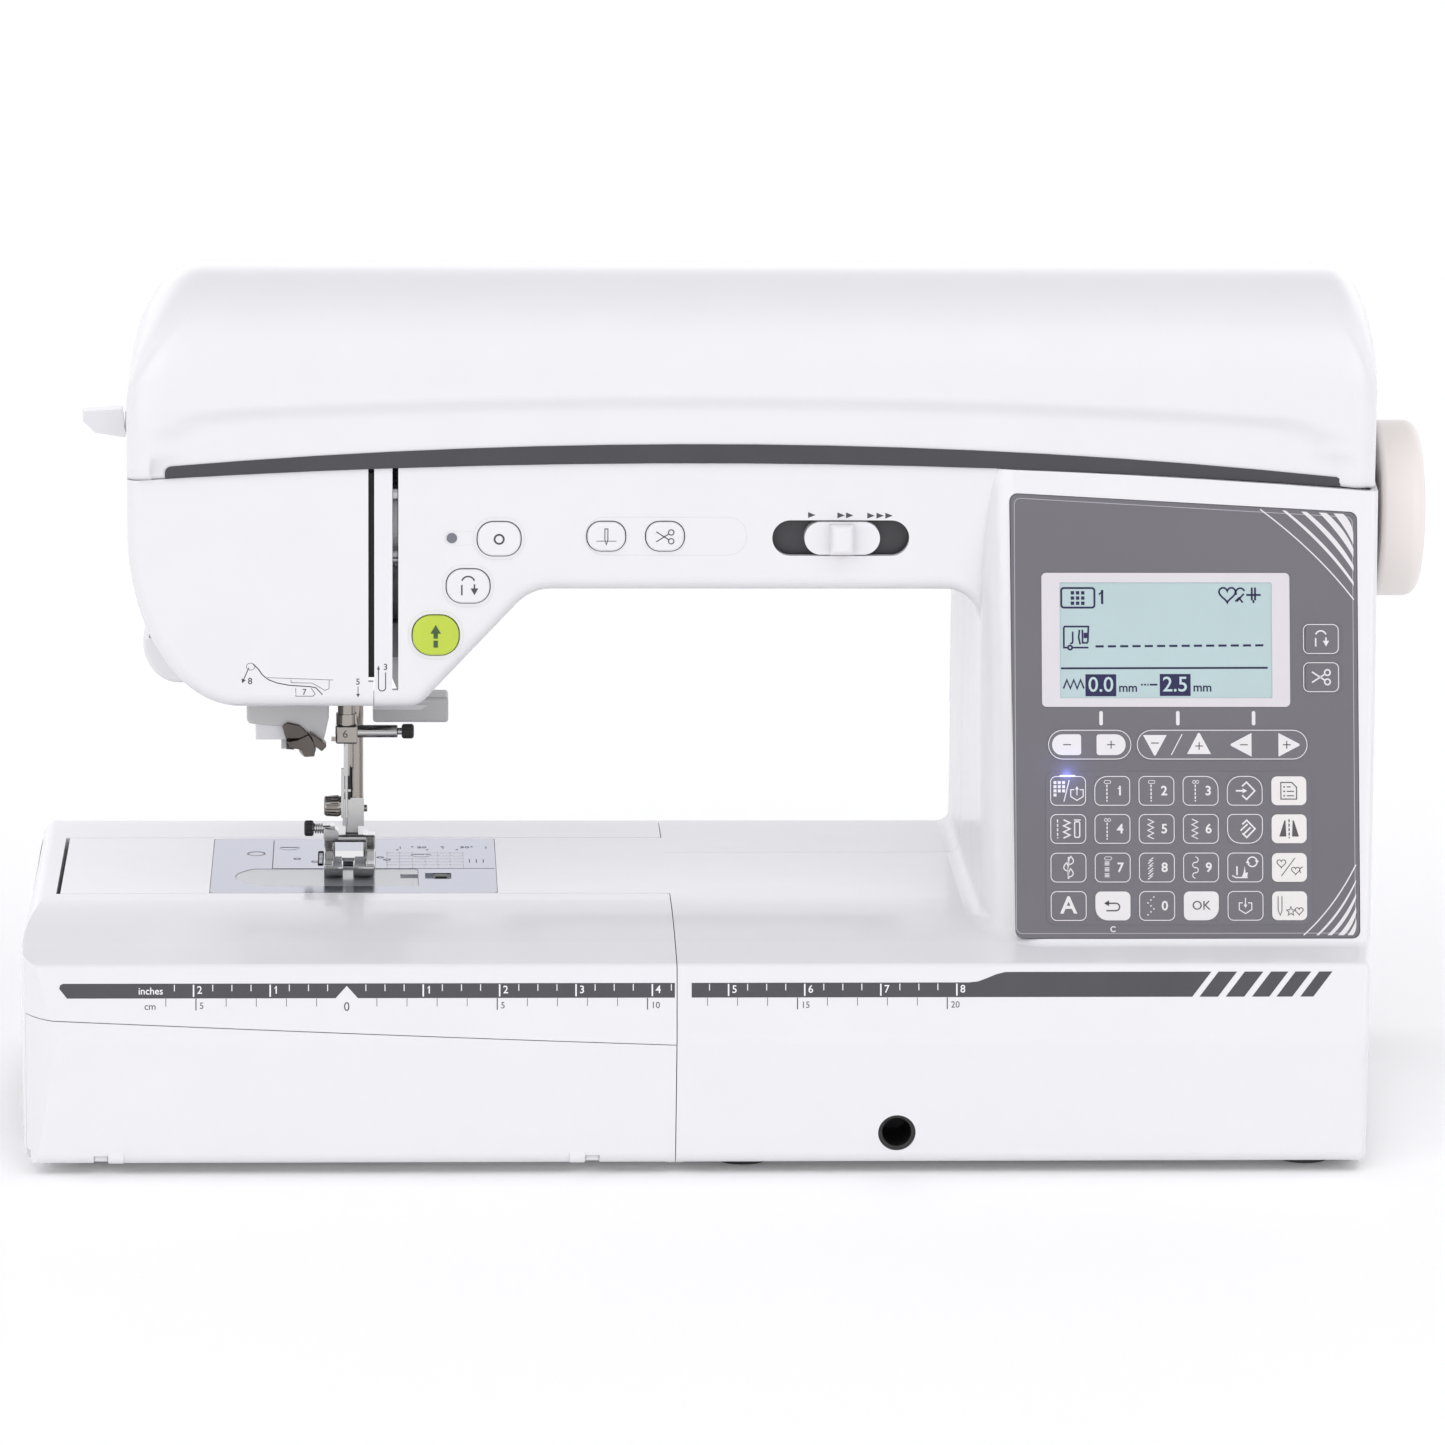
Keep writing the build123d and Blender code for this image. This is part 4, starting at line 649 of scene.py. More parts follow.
def print_panel():
    light, dark, cream, flat, rim = Print(), Print(), Print(), Print(), Print()
    corners = {(1, 0): (4.2, KEY_R, KEY_R, KEY_R), (3, 0): (KEY_R, 4.2, KEY_R, KEY_R),
               (4, 0): (4.4, 4.4, KEY_R, KEY_R), (4, 1): (KEY_R, KEY_R, 4.4, 4.4)}
    for column, u in enumerate(COLUMNS):
        for row, v in enumerate(ROWS):
            if column == 5 or (row == 3 and column in (1, 3)):
                continue
            light.stroke(rounded(u, v, KEY_W, KEY_H, corners.get((column, row), KEY_R)), LINE, closed=True)
    for row, v in enumerate(ROWS):
        cream.polygon(rounded(COLUMNS[5], v, KEY_W, KEY_H, KEY_R))
    light.polygon(rounded(COLUMNS[1], ROWS[3], KEY_W, KEY_H, (KEY_R, KEY_R, KEY_R, 4.2)))
    light.polygon(rounded(COLUMNS[3], ROWS[3], KEY_W, KEY_H, (KEY_R, KEY_R, 4.2, KEY_R)))

    forms = {(1, 0): ("bar", 1), (2, 0): ("bar", 2), (3, 0): ("figure", 3), (1, 1): ("figure", 4),
             (2, 1): ("zigzag", 5), (3, 1): ("zigzag", 6), (1, 2): ("blocks", 7), (2, 2): ("slant", 8),
             (3, 2): ("wave", 9), (2, 3): ("dots", 0)}
    for (column, row), (form, number) in forms.items():
        stitch(light, COLUMNS[column] - 2.1, ROWS[row], form)
        numbered_key(light, column, row, number)

    # left column: stitch groups, stitch kinds, leaf, letters
    u, v = COLUMNS[0], ROWS[0]
    for i in range(10):
        light.block(u - 4.9 + 1.45 * (i % 3), v + 2.3 - 1.4 * (i // 3), u - 3.9 + 1.45 * (i % 3), v + 3.3 - 1.4 * (i // 3))
    light.line(u + 0.4, v + 3.6, u - 1.4, v - 3.6, 0.34)
    pocket(light, u + 3.0, v - 0.9, up=True)
    v = ROWS[1]
    light.dashes(u - 3.6, v + 3.2, u - 3.6, v - 3.2, 0.42, 1.0, 0.5)
    light.stroke([(u + (0.6 if i % 2 else -1.6), v + 3.1 - 1.03 * i) for i in range(7)], 0.5)
    light.stroke(rounded(u + 3.0, v - 0.2, 1.7, 5.2, 0.4), 0.42, closed=True)
    light.dashes(u + 1.9, v + 3.0, u + 4.2, v + 3.0, 0.4, 2.4, 1.0)
    v = ROWS[2]
    light.stroke([(u, v - 3.8), (u - 0.1, v), (u + 0.1, v + 3.6)], 0.5)
    for du, dv, side in ((0.2, 1.0, 1), (-0.1, -1.2, -1), (0.1, -3.2, 1)):
        leaf = bezier((u + du, v + dv), (u + du + side * 2.6, v + dv + 0.6), (u + du + side * 0.6, v + dv + 2.8))
        back = bezier((u + du + side * 0.6, v + dv + 2.8), (u + du - side * 0.3, v + dv + 1.4), (u + du, v + dv))
        light.stroke(leaf[:-1] + back[:-1], 0.36, closed=True)
    light.text("A", u, ROWS[3], 5.6, bold=0.16)

    # fifth column: input, edit, foot change, memory pocket
    u = COLUMNS[4]
    for row in (0, 1):
        v = ROWS[row]
        light.stroke([(u - 0.9, v + 1.5), (u + 0.6, v + 2.9), (u + 3.4, v), (u + 0.6, v - 2.9), (u - 0.9, v - 1.5)], 0.52)
    arrow(light, (u + 0.8, ROWS[0]), (u - 3.0, ROWS[0]), 0.55, 1.5)
    light.stroke([(u - 1.5, ROWS[1] - 0.6), (u + 0.9, ROWS[1] + 1.6)], 0.52)
    light.stroke([(u - 0.3, ROWS[1] - 1.6), (u + 1.9, ROWS[1] + 0.5)], 0.52)
    v = ROWS[2]
    light.stroke([(u - 4.4, v - 2.7), (u - 3.2, v - 3.4), (u + 0.8, v - 3.4)], 0.4)
    light.line(u - 2.8, v - 2.6, u - 2.8, v + 0.4, 0.5)
    light.polygon([(u - 1.2, v - 3.2), (u + 0.6, v - 3.2), (u + 0.9, v - 1.6), (u + 0.1, v - 1.9), (u - 0.2, v + 0.5), (u - 0.6, v - 1.9)])
    light.stroke(arc(u + 2.4, v + 1.9, 1.6, 20, 160, 10), 0.45)
    light.stroke(arc(u + 2.4, v + 1.9, 1.6, 200, 340, 10), 0.45)
    light.polygon([(u + 4.6, v + 2.3), (u + 3.2, v + 2.5), (u + 4.0, v + 1.2)])
    light.polygon([(u + 0.2, v + 1.5), (u + 1.6, v + 1.3), (u + 0.8, v + 2.6)])
    pocket(light, u, ROWS[3] - 0.3, up=False)

    # pale keys
    u, v = COLUMNS[5], ROWS[0]
    page = [(u - 2.7, v - 2.8), (u + 2.6, v - 2.8), (u + 2.6, v + 1.2), (u + 1.0, v + 2.8), (u - 2.7, v + 2.8)]
    dark.stroke(page, 0.34, closed=True)
    for i in range(3):
        dark.disc(u - 1.6, v + 1.3 - 1.5 * i, 0.3, 8)
        dark.line(u - 0.7, v + 1.3 - 1.5 * i, u + (0.6 if i == 0 else 1.7), v + 1.3 - 1.5 * i, 0.34)
    v = ROWS[1]
    dark.dashes(u, v + 3.2, u, v - 3.2, 0.42, 1.0, 0.5)
    for side in (-1, 1):
        dark.polygon([(u + side * 1.0, v - 2.6), (u + side * 3.3, v - 2.6), (u + side * 1.6, v + 2.8), (u + side * 1.2, v + 2.8)])
    v = ROWS[2]
    dark.stroke(heart(u - 2.7, v + 1.2, 3.2), 0.26, closed=True)
    dark.line(u + 1.9, v + 3.2, u - 2.7, v - 2.9, 0.26)
    dark.stroke(heart(u + 2.1, v - 1.2, 3.0), 0.26, closed=True)
    dark.stroke(arc(u + 4.6, v - 1.0, 1.1, 90, 230, 8), 0.26)
    v = ROWS[3]
    dark.stroke([(u - 3.9, v + 3.2), (u - 3.9, v - 1.6), (u - 3.2, v - 3.2), (u - 2.6, v - 1.6), (u - 2.6, v + 3.2)], 0.26)
    dark.stroke(star(u + 0.4, v - 1.9, 1.6), 0.26, closed=True)
    dark.stroke(heart(u + 3.2, v - 1.9, 2.9), 0.26, closed=True)
    u, v = COLUMNS[1], ROWS[3]
    dark.stroke([(u - 2.2, v + 0.9), (u + 1.0, v + 0.9)] + arc(u + 1.0, v - 0.35, 1.25, 90, -90, 8) + [(u - 2.2, v - 1.6)], 0.46)
    dark.polygon([(u - 3.0, v + 0.9), (u - 1.3, v + 1.9), (u - 1.3, v - 0.1)])
    dark.text("OK", COLUMNS[3], ROWS[3], 3.0)
    flat.text("C", COLUMNS[1], 2.9, 1.9, bold=0.06)

    # tick marks and the two pill shaped fields below the display
    for u in (125.3, 151.2, 176.8):
        flat.polygon(rounded(u, 74.0, 1.2, 4.8, 0.55))
    light.stroke(rounded(121.4, 65.05, 27.8, 9.7, 4.8), LINE, closed=True)
    light.stroke(rounded(166.1, 65.05, 57.4, 9.7, 4.8), LINE, closed=True)
    light.polygon(rounded(113.6, 65.05, 9.8, 7.0, (3.4, 0.9, 0.9, 3.4)))
    light.polygon(rounded(128.6, 65.05, 9.8, 7.0, (0.9, 3.4, 3.4, 0.9)))
    light.polygon([(139.4, 68.3), (147.4, 68.3), (143.6, 61.4), (143.1, 61.4)])
    light.line(152.6, 68.6, 148.9, 61.6, 0.34)
    light.polygon([(154.2, 61.9), (162.3, 61.9), (158.5, 69.0), (158.0, 69.0)])
    light.polygon([(169.0, 65.3), (169.0, 64.7), (176.0, 61.0), (176.0, 69.0)])
    light.polygon([(192.2, 65.3), (192.2, 64.7), (185.1, 61.0), (185.1, 69.0)])
    for u, v in ((113.8, 65.05), (143.4, 65.6), (173.4, 65.0)):
        dark.line(u - 1.3, v, u + 1.3, v, 0.32)
    for u, v in ((128.6, 65.05), (158.3, 64.6), (187.9, 65.0)):
        dark.line(u - 1.3, v, u + 1.3, v, 0.32)
        dark.line(u, v - 1.3, u, v + 1.3, 0.32)

    # two keys at the right of the display
    for v in (100.7, 87.8):
        light.stroke(rounded(199.7, v, 11.8, 9.8, KEY_R), LINE, closed=True)
    reinforce(light, 199.7, 100.7, 4.6, 0.5)
    scissors(light, 199.7, 87.8, 5.6, 0.5)

    # decorative curved bands in both right corners
    def top_at(u):
        return 149.2 - (u - 95.0) * 0.0547

    right = 211.0
    for start, end, width in ((179.5, 114.0, 0.0), (187.0, 118.7, 1.3), (193.4, 123.6, 2.0),
                              (199.4, 128.4, 2.7), (204.4, 132.8, 3.4)):
        lean_u = start + 0.62 * (right - start)
        lean_v = end + 0.52 * (top_at(start) - end)
        if width == 0.0:
            flat.stroke(bezier((start, top_at(start)), (lean_u, lean_v), (right, end)), 0.42)
            continue
        outer = bezier((start, top_at(start)), (lean_u, lean_v), (right, end))
        shift = width * 0.95
        inner = bezier((start + shift, top_at(start + shift)), (lean_u + 0.66 * shift, lean_v + 0.66 * shift), (right, end + width))
        flat.polygon(outer + inner[::-1])
    for start, end, width in ((193.2, 24.6, 0.0), (197.4, 19.6, 0.9), (201.2, 14.9, 1.5), (204.8, 10.4, 2.0), (208.0, 6.2, 1.8)):
        middle = (start + 0.60 * (right - start), 1.0 + 0.40 * (end - 1.0))
        if width == 0.0:
            flat.stroke(bezier((start, 0.9), middle, (right, end)), 0.42)
            continue
        outer = bezier((start, 0.9), middle, (right, end))
        inner = bezier((start + width, 0.9), (middle[0] + 0.6 * width, middle[1] - 0.6 * width), (right, end - width))
        flat.polygon(outer + inner[::-1])

    # painted highlight: a light grey line a little inside the panel's outline stands for the light caught on the
    # panel's edge
    corner = [arc(208.7, 3.6, 2.0, -90, 0, 6), arc(208.7, 140.0, 2.0, 0, 87, 6),
              arc(98.4, 146.2, 2.0, 87, 180, 6), arc(98.4, 3.6, 2.0, 180, 270, 6)]
    rim.stroke([point for part in corner for point in part], 0.22, closed=True)
    lay(rim, "painted_panel_edge_highlight", "machine", MATERIALS["painted_highlight_line"], on_panel(0.23))
    lay(light, "panel_print_light", "machine", MATERIALS["ink_light"], on_panel(0.58))
    lay(flat, "panel_print_bands", "machine", MATERIALS["ink_light"], on_panel(0.25))
    lay(cream, "panel_print_cream", "machine", MATERIALS["ink_cream"], on_panel(0.57))
    lay(dark, "panel_print_dark", "machine", MATERIALS["ink_dark"], on_panel(0.64))

    glow = bpy.data.lights.new("key_glow", "POINT")
    glow.color = (0.22, 0.26, 1.0)
    glow.energy = 0.0011
    glow.shadow_soft_size = 0.0015
    bulb = bpy.data.objects.new("key_glow", glow)
    bulb.location = on_panel(3.4)(113.8, 55.4)
    bpy.context.scene.collection.objects.link(bulb)
    lamp = Print()
    lamp.polygon(rounded(113.8, 54.4, 5.2, 0.75, 0.3))
    lay(lamp, "key_light_bar", "machine", MATERIALS["blue_light"], on_panel(0.50))


def print_display():
    ink, hole = Print(), Print()
    ink.stroke(rounded(117.7, 114.6, 11.2, 6.6, 0.9), 0.66, closed=True)
    for i in range(3):
        for j in range(3):
            u, v = 115.3 + 1.75 * i, 112.2 + 1.75 * j
            ink.block(u, v, u + 1.15, v + 1.15)
    ink.text("1", 125.9, 114.6, 4.7, bold=0.07)
    ink.stroke(heart(168.2, 115.5, 6.0), 0.6, closed=True)
    ink.stroke(arc(172.6, 116.4, 1.5, 20, 210, 8), 0.58)
    ink.stroke([(173.8, 116.0), (171.4, 113.4)], 0.58)
    ink.stroke([(170.9, 113.4), (172.2, 114.6), (173.4, 113.0)], 0.58)
    ink.line(174.6, 115.6, 179.5, 115.6, 0.66)
    for u in (176.5, 177.6):
        ink.line(u, 118.1, u, 113.8, 0.66)
    ink.line(177.05, 113.9, 177.05, 112.9, 0.66)
    frame_line = [(121.0, 99.6), (121.2, 104.9), (113.2, 104.9), (112.9, 104.5), (112.9, 97.8), (114.4, 97.8)]
    ink.stroke(frame_line, 0.58)
    ink.line(115.6, 97.8, 121.2, 97.8, 0.58)
    ink.ring(115.0, 97.8, 0.7, 0.58, 12)
    ink.text("J", 115.9, 101.4, 3.2, bold=0.06)
    ink.stroke([(118.2, 103.8), (117.9, 101.2), (118.4, 98.9)], 0.58)
    ink.stroke([(119.2, 103.8), (119.2, 99.4), (121.0, 99.4)], 0.58)
    ink.block(119.6, 101.0, 120.8, 102.8)
    ink.dashes(123.6, 98.2, 181.5, 98.6, 0.72, 2.75, 1.4)
    ink.line(111.9, 90.8, 181.7, 91.0, 0.66)
    ink.stroke([(112.7 + 1.15 * i, 86.9 if i % 2 else 84.0) for i in range(7)], 0.58)
    ink.block(120.1, 81.4, 130.5, 88.8)
    hole.text("0.0", 125.3, 85.1, 5.0, bold=0.05)
    ink.text("mm", 134.5, 84.2, 2.9, bold=0.07)
    ink.dashes(138.9, 85.3, 141.4, 85.3, 0.6, 0.6, 0.45)
    ink.line(141.8, 85.3, 144.4, 85.3, 0.6)
    ink.block(145.2, 81.5, 155.6, 88.9)
    hole.text("2.5", 150.4, 85.2, 5.0, bold=0.05)
    ink.text("mm", 159.6, 84.3, 2.9, bold=0.07)
    lay(ink, "display_segments", "machine", MATERIALS["lcd_ink"], on_panel(0.16))
    lay(hole, "display_digits", "machine", MATERIALS["lcd_light"], on_panel(0.22))


# ---- ruler and other prints -------------------------------------------------------------------------
ZERO_X = -128.0
BAND_LOW, BAND_HIGH = 61.5, 66.3
INCH = 25.4


def ruler_marks(white, dark, left, right):
    for quarter in range(-9, 33):
        u = ZERO_X + quarter * INCH / 4
        if not left < u < right or quarter == 0:
            continue
        if quarter % 4:
            white.line(u, BAND_HIGH - 0.35, u, BAND_HIGH - 2.5, 0.3)
        else:
            white.line(u, BAND_HIGH - 0.35, u, BAND_LOW + 0.5, 0.5)
            white.text(str(abs(quarter) // 4), u + 2.0, BAND_HIGH - 2.2, 2.5, bold=0.03)
    for cm in range(-6, 21):
        u = ZERO_X + 10.0 * cm
        if not left < u < right or cm == 0:
            continue
        if cm % 5:
            dark.line(u, BAND_LOW - 0.1, u, BAND_LOW - 2.7, 0.2)
        else:
            dark.line(u, BAND_LOW - 0.1, u, BAND_LOW - 3.9, 0.34)
            dark.text(str(abs(cm)), u + (1.9 if abs(cm) < 10 else 2.7), BAND_LOW - 2.5, 2.1)


def subdivided(u0, u1, low, high, step=4.0):
    """Band outline with points along its length, so that it follows the surface."""
    count = max(1, round((u1 - u0) / step))
    lower = [(u0 + (u1 - u0) * i / count, low(u0 + (u1 - u0) * i / count)) for i in range(count + 1)]
    upper = [(u0 + (u1 - u0) * i / count, high(u0 + (u1 - u0) * i / count)) for i in range(count + 1)]
    return lower + upper[::-1]


def print_ruler():
    band, white, dark = Print(), Print(), Print()
    left, right = -223.3, -18.9
    notch = 3.7
    outline = [(left + 1.2, BAND_HIGH), (left + 0.3, BAND_HIGH - 0.5), (left, BAND_HIGH - 1.6), (left + 2.6, BAND_LOW)]
    outline += [(ZERO_X - notch, BAND_LOW), (ZERO_X, BAND_HIGH - 0.8), (ZERO_X + notch, BAND_LOW)]
    outline += [(right, BAND_LOW), (right, BAND_HIGH)]
    band.polygon(outline)
    ruler_marks(white, dark, left + 20, right - 0.5)
    white.text("inches", -193.0, BAND_LOW + 2.3, 2.3, bold=0.03)
    dark.text("cm", -193.2, BAND_LOW - 2.7, 2.3)
    dark.text("0", ZERO_X, BAND_LOW - 2.9, 2.9)
    where = "table_cover"
    lay(band, "ruler_band_table", "table", MATERIALS["ink_band"], against(where, 0.05))
    lay(white, "ruler_marks_table", "table", MATERIALS["ink_white"], against(where, 0.10))
    lay(dark, "ruler_cm_table", "table", MATERIALS["ink_band"], against(where, 0.05))

    band, white, dark = Print(), Print(), Print()
    left, right = -13.3, 200.0

    def high(u):
        return BAND_HIGH + 3.4 * smooth((u - 80.0) / 12.0)

    slant = 0.78
    tall = high(right) - BAND_LOW
    solid_end = 154.0
    outline = subdivided(left, solid_end, lambda u: BAND_LOW, high, 3.0)
    outline.insert(len(outline) // 2, (solid_end + slant * tall, high(right)))
    band.polygon(outline)
    for start, width in ((156.4, 6.2), (165.2, 6.2), (174.0, 5.8), (182.2, 5.3), (190.2, 4.4)):
        band.polygon([(start, BAND_LOW), (start + width, BAND_LOW),
                      (start + width + slant * tall, BAND_LOW + tall), (start + slant * tall, BAND_LOW + tall)])
    ruler_marks(white, dark, left + 0.5, 78.0)
    where = "front_cover"
    lay(band, "ruler_band_body", "machine", MATERIALS["ink_band"], against(where, 0.05))
    lay(white, "ruler_marks_body", "machine", MATERIALS["ink_white"], against(where, 0.10))
    lay(dark, "ruler_cm_body", "machine", MATERIALS["ink_band"], against(where, 0.05))


def print_head():
    """Threading marks on the face cover and on the strip between the thread slots."""
    ink = Print()
    path = [(-159.8, 161.9), (-158.2, 160.4), (-156.6, 158.1), (-154.6, 156.5), (-151.8, 155.4), (-147.8, 154.6),
            (-143.8, 154.3), (-140.6, 154.1), (-138.6, 153.7), (-137.4, 152.4), (-136.4, 151.3)]
    ink.stroke(path, 0.34)
    arrow(ink, (-163.5, 155.3), (-161.2, 160.6), 0.32, 1.4)
    ink.stroke([(-160.6 + 1.4 * cos(2 * pi * i / 20), 161.0 + 1.2 * sin(2 * pi * i / 20)) for i in range(20)], 0.17, closed=True)
    ink.text("8", -160.8, 155.9, 2.2, bold=0.03)
    ink.line(-155.0, 157.2, -132.8, 156.4, 0.15)
    ink.stroke([(-147.0, 156.5), (-147.0, 155.5), (-139.8, 155.3), (-137.4, 153.9), (-135.6, 152.8), (-134.2, 153.4), (-134.1, 156.3)], 0.18)
    ink.stroke([(-145.4, 153.6), (-145.4, 150.8), (-139.6, 150.8), (-138.9, 151.6), (-140.2, 153.6)], 0.2)
    ink.text("7", -142.5, 152.2, 2.0, bold=0.03)
    ink.text("5", -124.4, 155.7, 2.1, bold=0.03)
    arrow(ink, (-124.4, 150.4), (-124.4, 154.1), 0.26, 1.2)
    lay(ink, "face_cover_print", "machine", MATERIALS["ink_band"], against("face_cover", 0.04))
    ink = Print()
    ink.text("3", -115.1, 160.8, 2.1, bold=0.03)
    ink.stroke([(-117.5, 160.2), (-117.5, 153.8)] + arc(-116.3, 153.8, 1.2, 180, 360, 10) + [(-115.1, 159.0)], 0.32)
    ink.polygon([(-117.5, 161.4), (-118.0, 160.0), (-117.0, 160.0)])
    lay(ink, "thread_channel_print", "machine", MATERIALS["ink_band"], on_front(-52.06))


def print_arm():
    ink = Print()
    for u in (28.4,):
        ink.polygon([(u - 1.2, 213.2 + 1.0), (u - 1.2, 213.2 - 1.0), (u + 1.3, 213.2)])
    for u in (38.3, 41.2):
        ink.polygon([(u - 1.2, 214.1), (u - 1.2, 212.1), (u + 1.3, 213.1)])
    for u in (48.4, 51.5, 54.5):
        ink.polygon([(u - 1.2, 214.0), (u - 1.2, 212.0), (u + 1.3, 213.0)])
    lay(ink, "speed_marks", "machine", MATERIALS["ink_band"], against("front_cover", 0.05))
    faint = Print()
    faint.stroke(rounded(-20.6, 205.9, 54.4, 13.0, 6.3), 0.16, closed=True)
    for u, v, w, h in ((-98.2, 171.9, 18.6, 16.6), (-87.3, 188.8, 17.4, 14.4), (-76.9, 205.0, 17.4, 14.4)):
        faint.stroke(rounded(u, v, w, h, 0.46 * h), 0.14, closed=True)
    faint.stroke([(-85.4, 207.4), (-91.0, 207.4)] + arc(-92.6, 205.2, 2.6, 90, 270, 8) + [(-85.6, 202.9)], 0.12)
    lay(faint, "button_surround_lines", "machine", MATERIALS["seam_line"], against("front_cover", 0.03))

    front = on_front(-53.27)
    ink = Print()
    ink.ring(-76.9, 205.0, 1.55, 0.62)
    lay(ink, "reinforcement_icon", "key_reinforce", MATERIALS["ink_band"], front)
    ink = Print()
    reinforce(ink, -87.3, 188.9, 5.6, 0.5)
    lay(ink, "reverse_icon", "key_reverse", MATERIALS["ink_band"], front)
    ink = Print()
    ink.polygon([(-98.2, 175.6), (-100.0, 172.6), (-96.4, 172.6)])
    ink.block(-98.95, 170.9, -97.45, 172.7)
    ink.block(-98.95, 167.8, -97.45, 170.2)
    lay(ink, "start_icon", "key_start", MATERIALS["ink_green"], front)
    ink = Print()
    ink.line(-44.2, 204.4, -37.4, 204.4, 0.2)
    ink.stroke([(-41.3, 208.6), (-40.3, 208.6), (-40.3, 204.9), (-40.8, 203.2), (-41.3, 204.9)], 0.3, closed=True)
    lay(ink, "needle_position_icon", "key_needle", MATERIALS["ink_band"], front)
    ink = Print()
    scissors(ink, -21.0, 205.9, 5.4, 0.34)
    lay(ink, "thread_cutter_icon", "key_cutter", MATERIALS["ink_band"], front)


def print_plate():
    """Seam guides, scale and screw slots on the needle plate."""
    ink, pale = Print(), Print()
    ink.line(-154.2, 38.8, -154.2, -4.6, 0.36)
    ink.line(-154.2, -4.6, -77.4, -4.6, 0.36)
    for i in range(5):
        v = 19.5 - 4.6 * i
        pale.line(-115.0, v, -88.0, v, 0.34)
    for i in range(7):
        u = -114.6 + 4.4 * i
        pale.line(u, 21.0, u, -3.6, 0.3)
    for i in range(5):
        ink.text(str((i + 3) * 5) if i % 2 else "|", -110.0 + 7.5 * i, 28.0, 2.4, bold=0.05)
    for i in range(6):
        ink.disc(-111.0 + 5.2 * i, 24.3 + 4.5 * (i % 2), 0.5, 10)
    for u, v in ((-148.7, 27.8), (-102.8, 16.9), (-160.1, 18.4)):
        pale.ring(u, v, 3.4, 0.35, 28)
        ink.ring(u, v, 2.9, 0.5, 28)
    for u, v in ((-145.8, 10.5), (-139.6, 6.0), (-117.0, 12.5), (-114.6, 9.0)):
        ink.ring(u, v, 1.1, 0.5, 16)
    for i in range(3):
        ink.line(-86.0 + 2.4 * i, 4.5, -86.0 + 2.4 * i, 9.5, 0.4)
    lay(ink, "plate_marks_dark", "machine", MATERIALS["ink_band"], on_top(80.05))
    lay(pale, "plate_marks_light", "machine", MATERIALS["ink_light"], on_top(80.04))


# ---- small mechanism parts --------------------------------------------------------------------------
def lathe(name, body, finish, profile, centre, axis="X", steps=48, knurl=0.0, teeth=0):
    """Turned part: profile holds (along, radius) in mm, centre the two other coordinates."""
    mesh = bpy.data.meshes.new(name)
    bm = bmesh.new()
    rings = []
    for along, radius in profile:
        ring = []
        for i in range(steps):
            a = 2 * pi * i / steps
            r = radius - (knurl if teeth and radius > 1.5 and (i * teeth * 2 // steps) % 2 else 0.0)
            p, q = centre[0] + r * cos(a), centre[1] + r * sin(a)
            ring.append(bm.verts.new(Vector((along, p, q) if axis == "X" else (p, q, along)) * MM))
        rings.append(ring)
    for a, b in zip(rings, rings[1:]):
        for i in range(steps):
            j = (i + 1) % steps
            bm.faces.new((a[i], a[j], b[j], b[i]))
    bm.faces.new(rings[0])
    bm.faces.new(rings[-1])
    bmesh.ops.recalc_face_normals(bm, faces=bm.faces)
    bm.to_mesh(mesh)
    bm.free()
    piece = add_piece(name, mesh, body, finish, smooth_shade=not knurl)
    if not knurl:
        mesh.set_sharp_from_angle(angle=radians(35))
    return piece


def plate_piece(name, body, finish, outline, low, high, axis="Y", edge=0.25):
    """Flat outline in mm made solid along one axis, with softened edges."""
    mesh = bpy.data.meshes.new(name)
    bm = bmesh.new()

    def at(u, v, w):
        return Vector((u, w, v) if axis == "Y" else (w, u, v) if axis == "X" else (u, v, w)) * MM

    ring = [bm.verts.new(at(u, v, low)) for u, v in outline]
    back = [bm.verts.new(at(u, v, high)) for u, v in outline]
    bm.faces.new(ring)
    bm.faces.new(back)
    for i in range(len(ring)):
        j = (i + 1) % len(ring)
        bm.faces.new((ring[i], ring[j], back[j], back[i]))
    bmesh.ops.recalc_face_normals(bm, faces=bm.faces)
    bm.to_mesh(mesh)
    bm.free()
    piece = add_piece(name, mesh, body, finish, smooth_shade=False)
    soften = piece.modifiers.new("edge", "BEVEL")
    soften.width = edge * MM
    soften.segments = 3
    soften.limit_method = "ANGLE"
    soften.angle_limit = radians(40)
    return piece


def coil_spring(name, body, finish, x0, x1, centre, radius, wire, turns):
    data = bpy.data.curves.new(name, "CURVE")
    data.dimensions = "3D"
    line = data.splines.new("POLY")
    count = turns * 18
    line.points.add(count)
    for i, point in enumerate(line.points):
        a = 2 * pi * turns * i / count
        spot = Vector((x0 + (x1 - x0) * i / count, centre[0] + radius * cos(a), centre[1] + radius * sin(a))) * MM
        point.co = (*spot, 1)
    data.bevel_depth = wire * MM
    data.bevel_resolution = 3
    data.materials.append(finish)
    piece = bpy.data.objects.new(name, data)
    bpy.context.scene.collection.objects.link(piece)
    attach(piece, body)
    return piece


